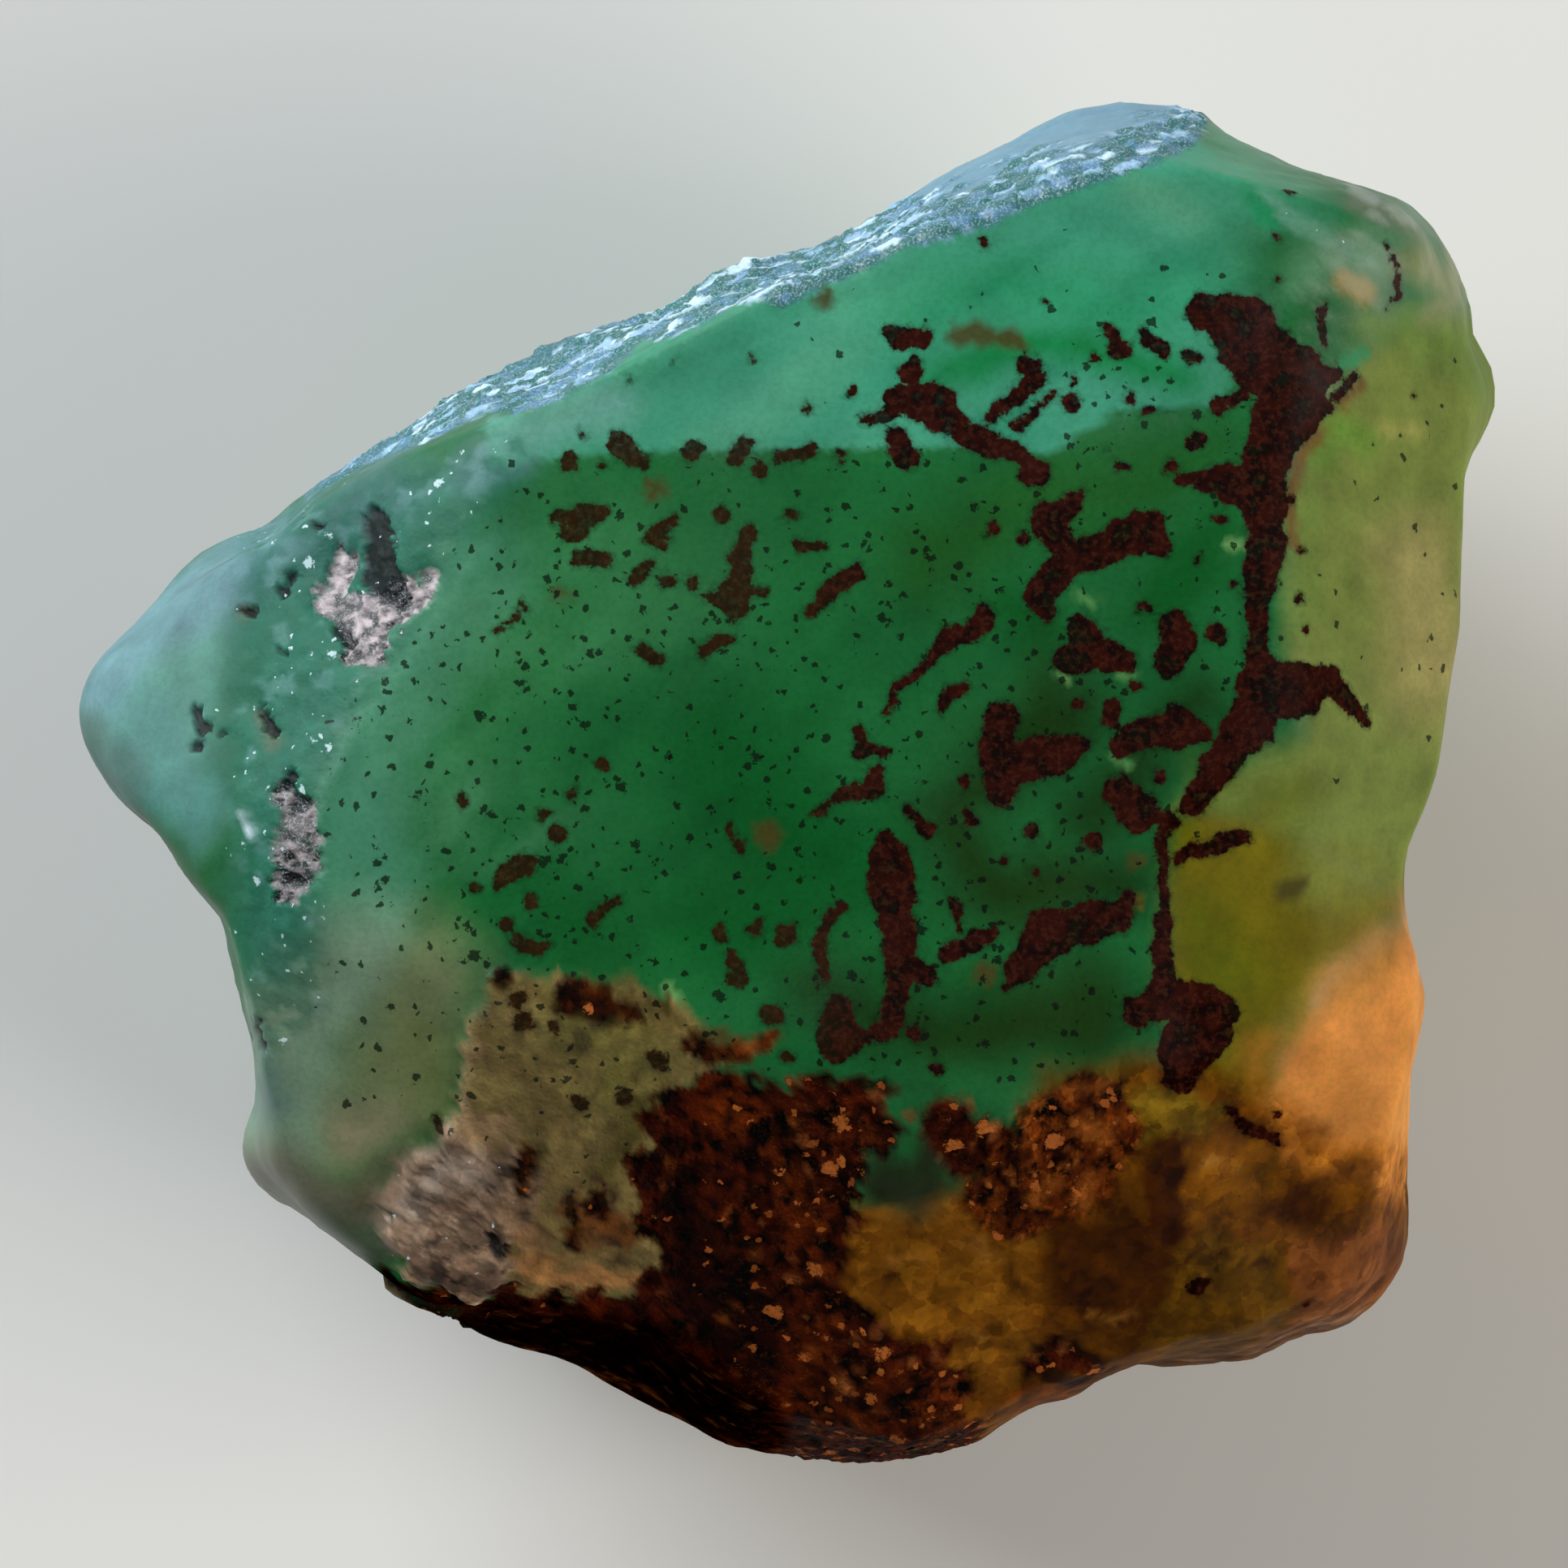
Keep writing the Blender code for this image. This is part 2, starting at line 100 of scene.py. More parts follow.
VEIN = (
    ((1485, 385, 22), (1530, 400, 38), (1550, 440, 40), (1590, 470, 48), (1575, 520, 30),
     (1555, 570, 25), (1555, 600, 30), (1560, 650, 22), (1555, 700, 22), (1550, 740, 15),
     (1548, 790, 12), (1553, 825, 18), (1560, 850, 35), (1610, 850, 30), (1640, 840, 18),
     (1685, 893, 4)),
    ((1540, 890, 30), (1510, 930, 20), (1490, 960, 20), (1470, 990, 14)),
    ((1590, 470, 30), (1645, 458, 8)),
    ((1668, 465, 6), (1620, 510, 10), (1590, 550, 10), (1570, 580, 10)),
    ((1458, 588, 6), (1500, 592, 16), (1540, 600, 30)),
)
PATCHES = (
    ((1335, 610, 5), (1290, 640, 20), (1320, 690, 20), (1375, 670, 20), (1410, 655, 25),
     (1425, 670, 18)), ((1320, 690, 18), (1280, 730, 15), (1292, 755, 10)),
    ((1330, 765, 10), (1345, 800, 26), (1385, 815, 14)), ((1345, 800, 26), (1315, 812, 16)),
    ((1445, 765, 15), (1455, 790, 20), (1440, 820, 18)), ((1497, 500, 8), (1530, 488, 8)),
    ((1265, 450, 12), (1275, 465, 12), (1240, 500, 8), (1215, 520, 6)),
    ((1300, 485, 5), (1255, 525, 6)), ((1362, 405, 6), (1380, 430, 11)),
    ((1410, 415, 7), (1435, 430, 8)), ((1255, 560, 6), (1275, 585, 18)),
    ((1370, 870, 8), (1370, 892, 9)),
    ((1380, 920, 14), (1410, 905, 18), (1450, 895, 25), (1475, 905, 12)),
    ((1380, 975, 18), (1400, 1000, 25)),
    ((1235, 885, 18), (1225, 930, 18), (1260, 940, 25), (1300, 930, 22), (1330, 920, 12)),
    ((1235, 935, 18), (1235, 975, 16)),
    ((1430, 1000, 6), (1433, 1080, 7), (1435, 1130, 8), (1430, 1180, 10), (1440, 1215, 12)),
    ((1455, 1055, 8), (1490, 1045, 9), (1530, 1030, 10)),
    ((1240, 1215, 5), (1260, 1190, 20), (1290, 1150, 28), (1340, 1140, 25), (1375, 1130, 20),
     (1390, 1110, 12)),
    ((1400, 1245, 18), (1450, 1230, 25), (1490, 1250, 35), (1465, 1290, 35), (1450, 1330, 18)),
    ((1630, 378, 5), (1630, 425, 5)),
    ((1712, 299, 3), (1722, 340, 4), (1720, 364, 4), (1706, 380, 3)),
    ((1093, 405, 8), (1110, 418, 12), (1140, 415, 10)), ((1130, 445, 6), (1120, 463, 12)),
    ((1100, 490, 12), (1150, 500, 28), (1180, 530, 14), (1220, 550, 12), (1250, 555, 12)),
    ((1060, 518, 4), (1100, 510, 9)), ((1100, 540, 12), (1120, 562, 14)),
    ((760, 545, 12), (775, 560, 14), (795, 570, 6)), ((918, 550, 9), (903, 565, 9)),
    ((960, 565, 9), (1000, 558, 9)), ((685, 640, 9), (735, 630, 11), (705, 655, 12)),
    ((830, 640, 5), (805, 665, 8)), ((985, 672, 7), (1012, 672, 6)),
    ((925, 650, 5), (912, 680, 12), (910, 710, 14), (905, 730, 22), (910, 750, 14)),
    ((905, 735, 10), (870, 737, 5)), ((905, 730, 10), (938, 727, 5)),
    ((715, 690, 10), (745, 688, 10)), ((800, 695, 6), (783, 712, 7)),
    ((1055, 705, 12), (1030, 720, 12), (1010, 740, 8), (995, 758, 6)),
    ((615, 777, 4), (633, 760, 4)), ((865, 805, 7), (885, 790, 10), (900, 785, 6)),
    ((793, 800, 7), (812, 815, 7)),
    ((1215, 760, 12), (1195, 780, 10), (1170, 785, 12), (1150, 810, 6), (1105, 850, 6),
     (1090, 878, 4)), ((1185, 845, 7), (1160, 870, 7)),
    ((1060, 900, 6), (1062, 925, 10), (1090, 925, 4)),
    ((1080, 955, 10), (1075, 975, 12), (1045, 975, 8), (1015, 995, 5), (1000, 1005, 4)),
    ((615, 1085, 10), (645, 1065, 14)), ((640, 1160, 8), (668, 1170, 8)),
    ((732, 1135, 8), (740, 1118, 6), (760, 1107, 6)), ((900, 1020, 5), (912, 1045, 5)),
    ((902, 1180, 7), (908, 1207, 11)),
    ((1040, 1115, 5), (1020, 1130, 8), (1010, 1165, 8), (1015, 1205, 5)),
    ((1095, 1050, 22), (1100, 1090, 30), (1105, 1130, 20), (1110, 1180, 20), (1105, 1230, 14),
     (1100, 1265, 12), (1070, 1280, 8)), ((1110, 1190, 14), (1138, 1200, 15)),
    ((1120, 1000, 7), (1145, 1025, 7)), ((1165, 1175, 8), (1195, 1165, 14), (1225, 1145, 6)),
    ((1172, 1105, 5), (1185, 1140, 5)), ((1030, 1240, 14), (1035, 1275, 28)),
    ((540, 1375, 5), (545, 1395, 5)), ((702, 1475, 6), (702, 1490, 6)),
    ((1510, 1365, 5), (1545, 1395, 8), (1580, 1405, 5)), ((1217, 655, 5), (1226, 650, 5)),
) + spots(
    (1590, 620, 6), (1603, 680, 5), (1602, 735, 5), (1610, 775, 6), (1500, 780, 12),
    (1473, 542, 10), (1320, 497, 10), (1470, 440, 10), (1428, 958, 10), (1400, 845, 7),
    (1410, 750, 7), (1330, 870, 8), (1440, 1010, 12), (1345, 1035, 10), (1270, 1025, 9),
    (1235, 1060, 6), (1275, 1075, 5), (1590, 235, 5), (1575, 290, 4), (1575, 345, 4),
    (1742, 488, 4), (700, 570, 12), (742, 573, 5), (852, 555, 12), (1034, 560, 6), (938, 580, 9),
    (820, 670, 7), (890, 633, 9), (975, 637, 8), (822, 716, 9), (852, 716, 9), (645, 748, 6),
    (740, 940, 8), (705, 978, 8), (668, 1003, 7), (568, 985, 7), (690, 1028, 10), (585, 1093, 7),
    (655, 1110, 8), (625, 1140, 9), (932, 1142, 9), (970, 1152, 13), (890, 1148, 9),
    (1193, 1008, 9), (1190, 965, 8), (948, 1252, 14), (1128, 1275, 6), (1155, 1315, 8),
    (970, 1305, 7), (812, 1303, 13), (645, 1255, 12), (685, 1265, 8), (640, 1230, 8),
    (715, 1355, 8), (770, 1350, 10), (833, 440, 4), (928, 443, 4), (775, 465, 4), (995, 503, 5),
    (1048, 482, 7), (718, 535, 4), (1213, 300, 5), (1165, 250, 5), (1475, 1585, 14),
    (1570, 1375, 6), (1610, 1605, 6), (1395, 490, 7), (1415, 507, 6), (1289, 372, 5),
    (1323, 470, 6), (1349, 443, 5), (1382, 575, 7), (1362, 556, 5), (1442, 575, 6), (1262, 662, 6),
    (1500, 640, 6), (1476, 690, 5), (1520, 720, 5),
)
OCHRE = (
    ((710, 1225, 18), (745, 1245, 25)), ((860, 1275, 10), (900, 1290, 13), (945, 1285, 12)),
    ((640, 1435, 10), (665, 1415, 12)),
    ((1175, 415, 10), (1205, 410, 14), (1235, 415, 12), (1262, 428, 6)),
) + spots(
    (1580, 840, 12), (1405, 1060, 9), (1402, 1110, 8), (1215, 1200, 14), (1590, 1095, 18),
    (805, 605, 14), (690, 735, 10), (715, 1285, 15), (820, 1240, 10), (1015, 368, 12),
    (1235, 975, 18), (945, 1030, 16),
)
MICA = (
    ((405, 735, 16), (440, 760, 26), (500, 740, 24), (525, 725, 12)),
    ((440, 760, 26), (455, 790, 26), (435, 808, 14)), ((425, 690, 12), (415, 720, 14)),
    ((350, 975, 14), (368, 1010, 20), (362, 1060, 24), (350, 1100, 13)),
)
BLACK_MICA = (
    ((462, 640, 16), (468, 680, 19), (470, 720, 20), (492, 738, 12)),
    ((420, 780, 8), (428, 790, 9)), ((358, 962, 8), (366, 990, 11)), ((348, 728, 8), (360, 710, 5)),
    ((239, 866, 4), (246, 898, 8), (243, 922, 4)), ((322, 872, 2), (334, 905, 5)),
    ((300, 752, 4), (312, 758, 3)), ((345, 800, 3), (352, 806, 3)),
    ((602, 1526, 9), (618, 1538, 8)), ((380, 640, 3), (390, 650, 2)),
    ((318, 1270, 4), (326, 1290, 4)),
) + spots(
    (362, 1088, 5), (268, 905, 3), (395, 812, 3),
)
MATRIX_SPOTS = (
    ((1170, 1385, 34), (1185, 1430, 24), (1220, 1400, 24)),
    ((1265, 1690, 8), (1300, 1665, 16), (1345, 1690, 6)),
)

# Outlines of areas: corners (across, down) in pixels of the view.
RIDGE = (
    (650, 508), (690, 492), (720, 476), (760, 450), (790, 420), (830, 413), (870, 396), (900, 377),
    (940, 368), (960, 380), (1000, 356), (1040, 342), (1080, 325), (1110, 305), (1140, 300),
    (1180, 290), (1220, 275), (1250, 262), (1300, 243), (1350, 225), (1400, 208), (1440, 193),
    (1475, 178),
)
STRIP = ((470, 566), (520, 545), (600, 508)) + RIDGE + (
    (1520, 60), (1200, 30), (400, 350), (250, 560), (380, 610),
)
# The strip's smooth far end, where a pale blue sheen is painted.
SHEEN = (
    (1175, 232), (1230, 205), (1290, 185), (1340, 180), (1400, 150), (1450, 145), (1440, 100),
    (1200, 100), (1060, 240),
)
CREASE = ((600, 580), (650, 570), (700, 562), (800, 556), (900, 556), (1000, 553), (1170, 550))
UPPER = ((600, 515),) + RIDGE + (
    (1600, 250), (1580, 400), (1500, 500), (1380, 505), (1290, 560),
) + CREASE[::-1]
FACE = CREASE + (
    (1290, 560), (1440, 520), (1540, 430), (1600, 480), (1575, 600), (1570, 800), (1540, 920),
    (1480, 1000), (1430, 1100), (1430, 1250), (1400, 1330), (1300, 1350), (1100, 1330), (850, 1300),
    (600, 1220), (560, 1190), (430, 1100), (420, 950), (490, 800), (600, 640),
)
KNOB = (
    (60, 860), (90, 780), (200, 700), (300, 660), (330, 700), (290, 800), (270, 900), (290, 1000),
    (230, 1050), (120, 950),
)
LEFT_SLOPE = (
    (300, 660), (420, 600), (560, 550), (650, 520), (640, 575), (570, 650), (480, 800), (420, 900),
    (385, 1000), (400, 1250), (330, 1300), (290, 1150), (290, 1000), (270, 900), (290, 800),
)
SLAB = (
    (600, 1195), (588, 1250), (574, 1300), (558, 1345), (570, 1392), (545, 1405), (500, 1435),
    (490, 1470), (476, 1492), (498, 1530), (512, 1568), (590, 1600), (700, 1606), (800, 1602),
    (850, 1540), (850, 1340), (900, 1300), (850, 1240), (780, 1205), (690, 1214),
)
CHUNK = (
    (565, 1385), (610, 1415), (660, 1440), (660, 1500), (620, 1530), (630, 1565), (600, 1600),
    (516, 1578), (486, 1535), (466, 1492), (486, 1430), (530, 1404),
)
ORANGE = (
    (1760, 1130), (1690, 1170), (1640, 1210), (1600, 1280), (1570, 1340), (1590, 1405),
    (1650, 1450), (1720, 1465), (1900, 1470), (1900, 1150),
)
OLIVE = (
    (1440, 1010), (1560, 1010), (1640, 1050), (1740, 1110), (1640, 1200), (1580, 1260),
    (1580, 1390), (1480, 1360), (1440, 1200),
)
RIGHT_BAND = (
    (1600, 540), (1660, 480), (1720, 400), (1900, 380), (1900, 1110), (1740, 1120), (1640, 1060),
    (1560, 1010), (1450, 1000), (1540, 930), (1600, 900), (1585, 620),
)
MATRIX = (
    (845, 1330), (905, 1316), (960, 1335), (1010, 1322), (1060, 1330), (1100, 1350), (1118, 1385),
    (1085, 1420), (1062, 1455), (1050, 1520), (1040, 1580), (1075, 1635), (1130, 1655),
    (1172, 1640), (1180, 1700), (1215, 1740), (1230, 1900), (700, 1900), (400, 1700), (440, 1556),
    (518, 1580), (640, 1588), (700, 1590), (785, 1584), (812, 1560), (780, 1500), (770, 1440),
    (792, 1400), (800, 1350),
)
LOWER_RIGHT = (
    (1290, 1330), (1420, 1300), (1560, 1340), (1660, 1415), (1900, 1415), (1900, 1900),
    (1150, 1900), (980, 1640), (980, 1490), (1080, 1470), (1130, 1500), (1210, 1440),
)
SPECKLED = (
    (440, 800), (700, 700), (1000, 640), (1250, 640), (1330, 850), (1330, 1180), (1150, 1300),
    (850, 1280), (560, 1180), (420, 1080),
)

CORNER = ((1540, 170), (1640, 190), (1780, 240), (1820, 340), (1740, 380), (1640, 360), (1560, 290))
# The undercut at the bottom, where near-black shade is painted.
SHADED_UNDERCUT = (
    (470, 1572, 8), (520, 1625, 14), (600, 1640, 24), (700, 1660, 34), (800, 1690, 38),
    (870, 1730, 36), (930, 1760, 26),
)
RUST_SPOTS = (
    ((614, 1208, 18),), ((700, 1228, 14), (745, 1240, 24), (775, 1250, 12)),
    ((850, 1287, 10), (900, 1293, 16), (945, 1285, 9)), ((652, 1429, 18), (640, 1440, 12)),
    ((735, 1470, 8), (740, 1500, 12)), ((700, 1500, 8), (712, 1530, 10)),
)
RUSTY = (
    (1243, 1385), (1290, 1340), (1340, 1325), (1390, 1335), (1410, 1380), (1390, 1430),
    (1345, 1500), (1290, 1520), (1230, 1530), (1195, 1490), (1200, 1440),
)

# Where the stone is peppered with dark specks: an area, their density, and the softness of
# its edge in mm.
SPECK_AREAS = (
    (SPECKLED, 0.9, 1.4),
    (FACE, 0.45, 0.5),
    (((1320, 400), (1490, 420), (1500, 560), (1320, 560)), 0.8, 0.5),
    (((700, 520), (1450, 230), (1560, 300), (1400, 400), (1000, 540)), 0.1, 0.6),
    (((400, 1150), (600, 1210), (800, 1300), (760, 1460), (420, 1360)), 0.45, 0.8),
    (((1580, 560), (1800, 450), (1800, 1000), (1600, 1010)), 0.12, 0.5),
)

# Where the mesh is finer than elsewhere: an area and the longest edge in mm.
FINE_AREAS = (
    (STRIP, 0.22), (LEFT_SLOPE, 0.28), (SLAB, 0.28), (MATRIX, 0.31), (LOWER_RIGHT, 0.33),
    (RUSTY, 0.22), (KNOB, 0.4), (CORNER, 0.26),
)

# Where a broken ridge glitters: painted glints along it.
SPARKLING = ((1552, 238, 4), (1600, 272, 10), (1650, 302, 8), (1700, 335, 4))

# The body's colours, laid over each other in this order: display colour, softness of the
# edge in mm, strength, and a shape: an area's corners, a stroke or a set of strokes.
GROUND = (26, 92, 48)
TINTS = (
    # the wide green face
    ((46, 106, 64), 1.8, 0.9, ((700, 660, 70), (820, 740, 60), (640, 780, 90), (560, 960, 70))),
    ((0, 80, 34), 1.6, 0.95, (((900, 930, 80), (1010, 1090, 120), (860, 1140, 60)),
     ((760, 1190, 30), (640, 1090, 30)))),
    ((28, 78, 28), 1.2, 0.85, ((1150, 690, 50), (1260, 620, 50), (1420, 590, 40), (1500, 555, 20))),
    ((0, 78, 30), 0.7, 0.95, (((1500, 660, 36), (1440, 740, 44)), ((1280, 790, 30),
     (1230, 760, 20)))),
    ((22, 48, 6), 1.2, 0.95, (((1300, 880, 60), (1170, 1000, 40), (1230, 1090, 60),
     (1380, 1090, 40)), ((1000, 1225, 30), (1160, 1270, 60), (1340, 1250, 70)), ((1480, 870, 30),
     (1340, 1000, 40)))),
    # the left slope and the knob
    ((66, 124, 98), 1.1, 0.9, ((600, 690, 40), (510, 800, 50), (450, 930, 50), (440, 1130, 70))),
    ((50, 108, 92), 0.9, 0.9, LEFT_SLOPE),
    ((84, 132, 122), 0.6, 0.9, KNOB),
    # painted light: a paler band along the slope's upper edge
    ((68, 108, 106), 0.8, 0.85, ((300, 720, 40), (380, 665, 44), (470, 600, 40))),
    ((34, 92, 72), 0.6, 0.85, (((540, 650, 20), (510, 670, 20)), ((300, 780, 14), (296, 840, 24)),
     ((270, 960, 40), (240, 1000, 30)))),
    ((76, 126, 120), 0.6, 0.85, ((170, 930, 50), (230, 980, 40), (160, 860, 40))),
    # painted sheen: the knob's pale blue upper edge
    ((98, 132, 140), 0.6, 0.95, ((110, 860, 40), (150, 790, 50), (250, 715, 44), (330, 670, 30))),
    ((84, 112, 106), 0.5, 0.8, ((100, 900, 24), (150, 960, 24))),
    # the lower left
    ((112, 136, 114), 1.0, 0.95, ((440, 1180, 60), (370, 1270, 70), (340, 1400, 70),
     (300, 1420, 80))),
    ((92, 88, 74), 0.6, 0.9, ((300, 1440, 30), (380, 1470, 34), (470, 1500, 40))),
    # a darker grey patch by the lower left edge, partly painted shade
    ((76, 78, 66), 0.5, 0.7, ((380, 1510, 14), (460, 1560, 24))),
    ((106, 116, 82), 1.0, 0.95, ((540, 1190, 54), (500, 1300, 60), (440, 1390, 50))),
    ((92, 100, 58), 0.8, 0.8, ((520, 1290, 30), (530, 1370, 24))),
    ((74, 100, 100), 0.5, 0.8, ((325, 1320, 18), (335, 1370, 18))),
    ((138, 130, 102), 0.7, 0.85, ((430, 1390, 30), (480, 1370, 20))),
    ((92, 88, 66), 0.4, 0.85, ((500, 1420, 14), (470, 1450, 14), (450, 1490, 12))),
    # the yellow-green right side, its corner and the orange below it
    ((104, 116, 56), 0.5, 0.95, RIGHT_BAND),
    ((138, 128, 82), 1.1, 0.85, ((1740, 690, 40), (1770, 830, 50))),
    ((88, 112, 52), 0.7, 0.8, (((1810, 440, 40), (1700, 400, 24)), ((1610, 620, 10),
     (1610, 760, 10)))),
    ((86, 92, 26), 0.8, 0.85, (((1560, 1000, 24), (1620, 960, 20)), ((1500, 960, 14),))),
    ((52, 124, 92), 0.7, 0.9, ((1500, 190, 40), (1570, 240, 40), (1620, 270, 20))),
    ((78, 124, 92), 0.5, 0.9, ((1600, 330, 20), (1690, 300, 30), (1740, 260, 20))),
    ((94, 104, 84), 0.25, 0.85, ((1670, 245, 12), (1710, 262, 14), (1745, 285, 8))),
    ((112, 118, 78), 0.4, 0.9, ((1750, 320, 24), (1800, 350, 24), (1770, 390, 16))),
    # painted glitter along the broken ridge, and painted highlights on its folds
    ((104, 144, 128), 0.12, 0.45, ((1555, 238, 6), (1600, 275, 12), (1650, 300, 9),
     (1695, 328, 5))),
    ((136, 146, 136), 0.1, 0.7, (((1664, 228, 5), (1694, 248, 6)), ((1712, 256, 4), (1740, 276, 5)),
     ((1690, 262, 4), (1706, 274, 3)))),
    ((134, 118, 66), 0.18, 0.85, ((1655, 345, 14), (1680, 360, 15))),
    ((80, 112, 44), 0.4, 0.85, (((1690, 400, 12), (1740, 384, 14)), ((1640, 480, 22),
     (1625, 560, 24)))),
    ((0, 118, 72), 0.1, 0.9, (((1535, 238, 6), (1556, 265, 13), (1570, 275, 6)), ((1655, 450, 7),
     (1680, 436, 8)))),
    ((96, 60, 28), 0.1, 0.8, ((1676, 472, 5), (1632, 524, 9), (1600, 566, 8), (1590, 620, 7),
     (1594, 670, 6))),
    ((100, 88, 8), 0.6, 0.95, OLIVE),
    ((74, 82, 8), 0.8, 0.85, ((1480, 1140, 26), (1515, 1210, 30))),
    ((88, 122, 46), 0.3, 0.8, ((1640, 515, 16), (1680, 545, 18))),
    ((136, 134, 72), 0.2, 0.7, ((1705, 525, 8), (1750, 530, 8))),
    ((124, 106, 32), 0.4, 0.9, ((1590, 1270, 26), (1630, 1215, 26))),
    ((104, 112, 50), 0.7, 0.8, ((1640, 1080, 40), (1720, 1080, 30))),
    ((104, 60, 6), 0.6, 0.97, LOWER_RIGHT),
    # the orange: a stain, partly painted warm light
    ((200, 128, 62), 0.5, 0.95, ORANGE),
    ((190, 128, 84), 0.5, 0.7, ((1765, 1185, 26), (1785, 1290, 22))),
    ((150, 100, 30), 0.4, 0.8, ((1560, 1290, 18), (1550, 1330, 14))),
    ((156, 110, 50), 0.6, 0.85, (((1640, 1220, 20), (1700, 1170, 24)), ((1750, 1120, 30),))),
    ((172, 104, 22), 0.5, 0.85, ((1590, 1380, 12), (1640, 1430, 14), (1690, 1430, 10))),
    ((30, 38, 16), 0.35, 0.95, ((1090, 1445, 22), (1140, 1462, 26), (1150, 1410, 22))),
    # small marks
    ((92, 148, 122), 0.12, 0.5, ((394, 980, 4), (426, 909, 6), (490, 829, 6), (554, 733, 6),
     (600, 670, 4))),
    ((84, 96, 80), 0.15, 0.8, (((322, 880, 8), (336, 915, 10)), ((300, 755, 12),))),
    ((80, 84, 88), 0.3, 0.7, ((312, 1262, 8), (325, 1290, 8))),
    # painted glare: pale blue at the crest corner
    ((84, 124, 124), 0.4, 0.9, ((560, 590, 20), (620, 560, 24), (680, 545, 10))),
    ((128, 160, 168), 0.15, 0.6, (((590, 556, 5), (625, 548, 6)), ((560, 572, 5), (570, 566, 4)))),
    # a painted highlight: a white fleck on the knob's edge
    ((188, 204, 214), 0.08, 0.9, ((301, 1004, 4), (306, 1022, 6), (314, 1032, 3))),
    ((106, 150, 90), 0.12, 0.7, (((820, 1218, 6), (836, 1230, 5)), ((1305, 832, 4), (1314, 838, 3)),
     ((1380, 832, 5), (1395, 834, 4)), ((1325, 732, 3), (1345, 740, 4)), ((1515, 672, 7),
     (1530, 672, 7)), ((1370, 930, 3), (1392, 943, 4)))),
    ((150, 118, 30), 0.08, 0.9, ((1402, 1108, 5), (1404, 1114, 5))),
)
UPPER_TINTS = (
    ((60, 136, 110), 0.1, 0.95, ()),
    # painted glare: pale blue at the crest corner
    ((106, 150, 146), 0.9, 0.85, ((600, 548, 24), (680, 522, 26), (760, 490, 14))),
    ((36, 130, 88), 1.3, 0.85, ((1130, 390, 30), (1250, 360, 40), (1400, 390, 40),
     (1500, 360, 20))),
    ((0, 112, 58), 0.5, 0.95, ((1150, 460, 10), (1220, 450, 24), (1330, 430, 20), (1470, 470, 16))),
    ((84, 142, 114), 0.8, 0.8, ((1400, 240, 24), (1470, 260, 24))),
)
CHUNK_TINTS = (
    ((156, 128, 108), 0.15, 0.95, ()),
    ((168, 154, 142), 0.4, 0.8, ((515, 1480, 14), (545, 1440, 14), (600, 1440, 14))),
    ((100, 78, 66), 0.4, 0.85, ((520, 1560, 12), (600, 1575, 14))),
    ((138, 110, 82), 0.3, 0.8, ((640, 1450, 16), (640, 1500, 20))),
)
LOWER_TINTS = (
    ((136, 88, 24), 0.3, 0.9, ((1050, 1490), (1195, 1475), (1260, 1500), (1290, 1560), (1280, 1640),
     (1230, 1720), (1180, 1700), (1130, 1640), (1060, 1610))),
    ((100, 70, 14), 0.25, 0.85, ((1446, 1519), (1580, 1530), (1590, 1640), (1480, 1670),
     (1400, 1660))),
    ((76, 40, 6), 0.25, 0.9, ((1291, 1519), (1446, 1490), (1450, 1600), (1400, 1640),
     (1300, 1620))),
    ((124, 78, 12), 0.2, 0.85, ((1465, 1413), (1560, 1405), (1575, 1470), (1530, 1510),
     (1465, 1500))),
    ((118, 94, 24), 0.22, 0.85, ((1388, 1346), (1470, 1335), (1510, 1370), (1480, 1400),
     (1400, 1410))),
    ((50, 22, 4), 0.25, 0.85, ((1545, 1480), (1600, 1450), (1650, 1480), (1620, 1510),
     (1560, 1505))),
    ((56, 24, 4), 0.14, 0.85, ((1420, 1405), (1455, 1405), (1462, 1510), (1430, 1530),
     (1412, 1470))),
    ((118, 70, 36), 0.4, 0.85, ((1590, 1530), (1700, 1500), (1760, 1540), (1700, 1630),
     (1600, 1640))),
    # painted warm rim light: pale lines along the bottom edge; the near-black notch above the left
    # one is painted shade
    ((128, 96, 76), 0.12, 0.7, ((1706, 1617, 8), (1620, 1642, 8), (1540, 1664, 6),
     (1470, 1690, 6))),
    ((22, 9, 4), 0.1, 0.9, ((1262, 1665), (1310, 1650), (1370, 1690), (1330, 1705), (1280, 1700))),
    ((118, 58, 12), 0.08, 0.85, ((1243, 1722, 6), (1290, 1716, 6), (1335, 1712, 5))),
    ((52, 24, 8), 0.1, 0.8, (((1300, 1545, 3), (1330, 1600, 4), (1340, 1640, 3)), ((1120, 1500, 5),
     (1125, 1506, 5)), ((1200, 1600, 6), (1206, 1606, 5)), ((1460, 1560, 3), (1520, 1548, 4),
     (1560, 1560, 3)), ((1600, 1560, 5),), ((1360, 1480, 6), (1400, 1500, 5)), ((1240, 1560, 4),
     (1262, 1590, 3)))),
    ((150, 104, 44), 0.1, 0.7, (((1100, 1560, 6), (1140, 1550, 5)), ((1190, 1530, 6),
     (1230, 1545, 6)), ((1180, 1640, 7), (1210, 1660, 5)), ((1290, 1480, 5), (1310, 1500, 4)),
     ((1350, 1620, 4), (1390, 1612, 5)), ((1490, 1440, 6), (1520, 1436, 6)))),
)
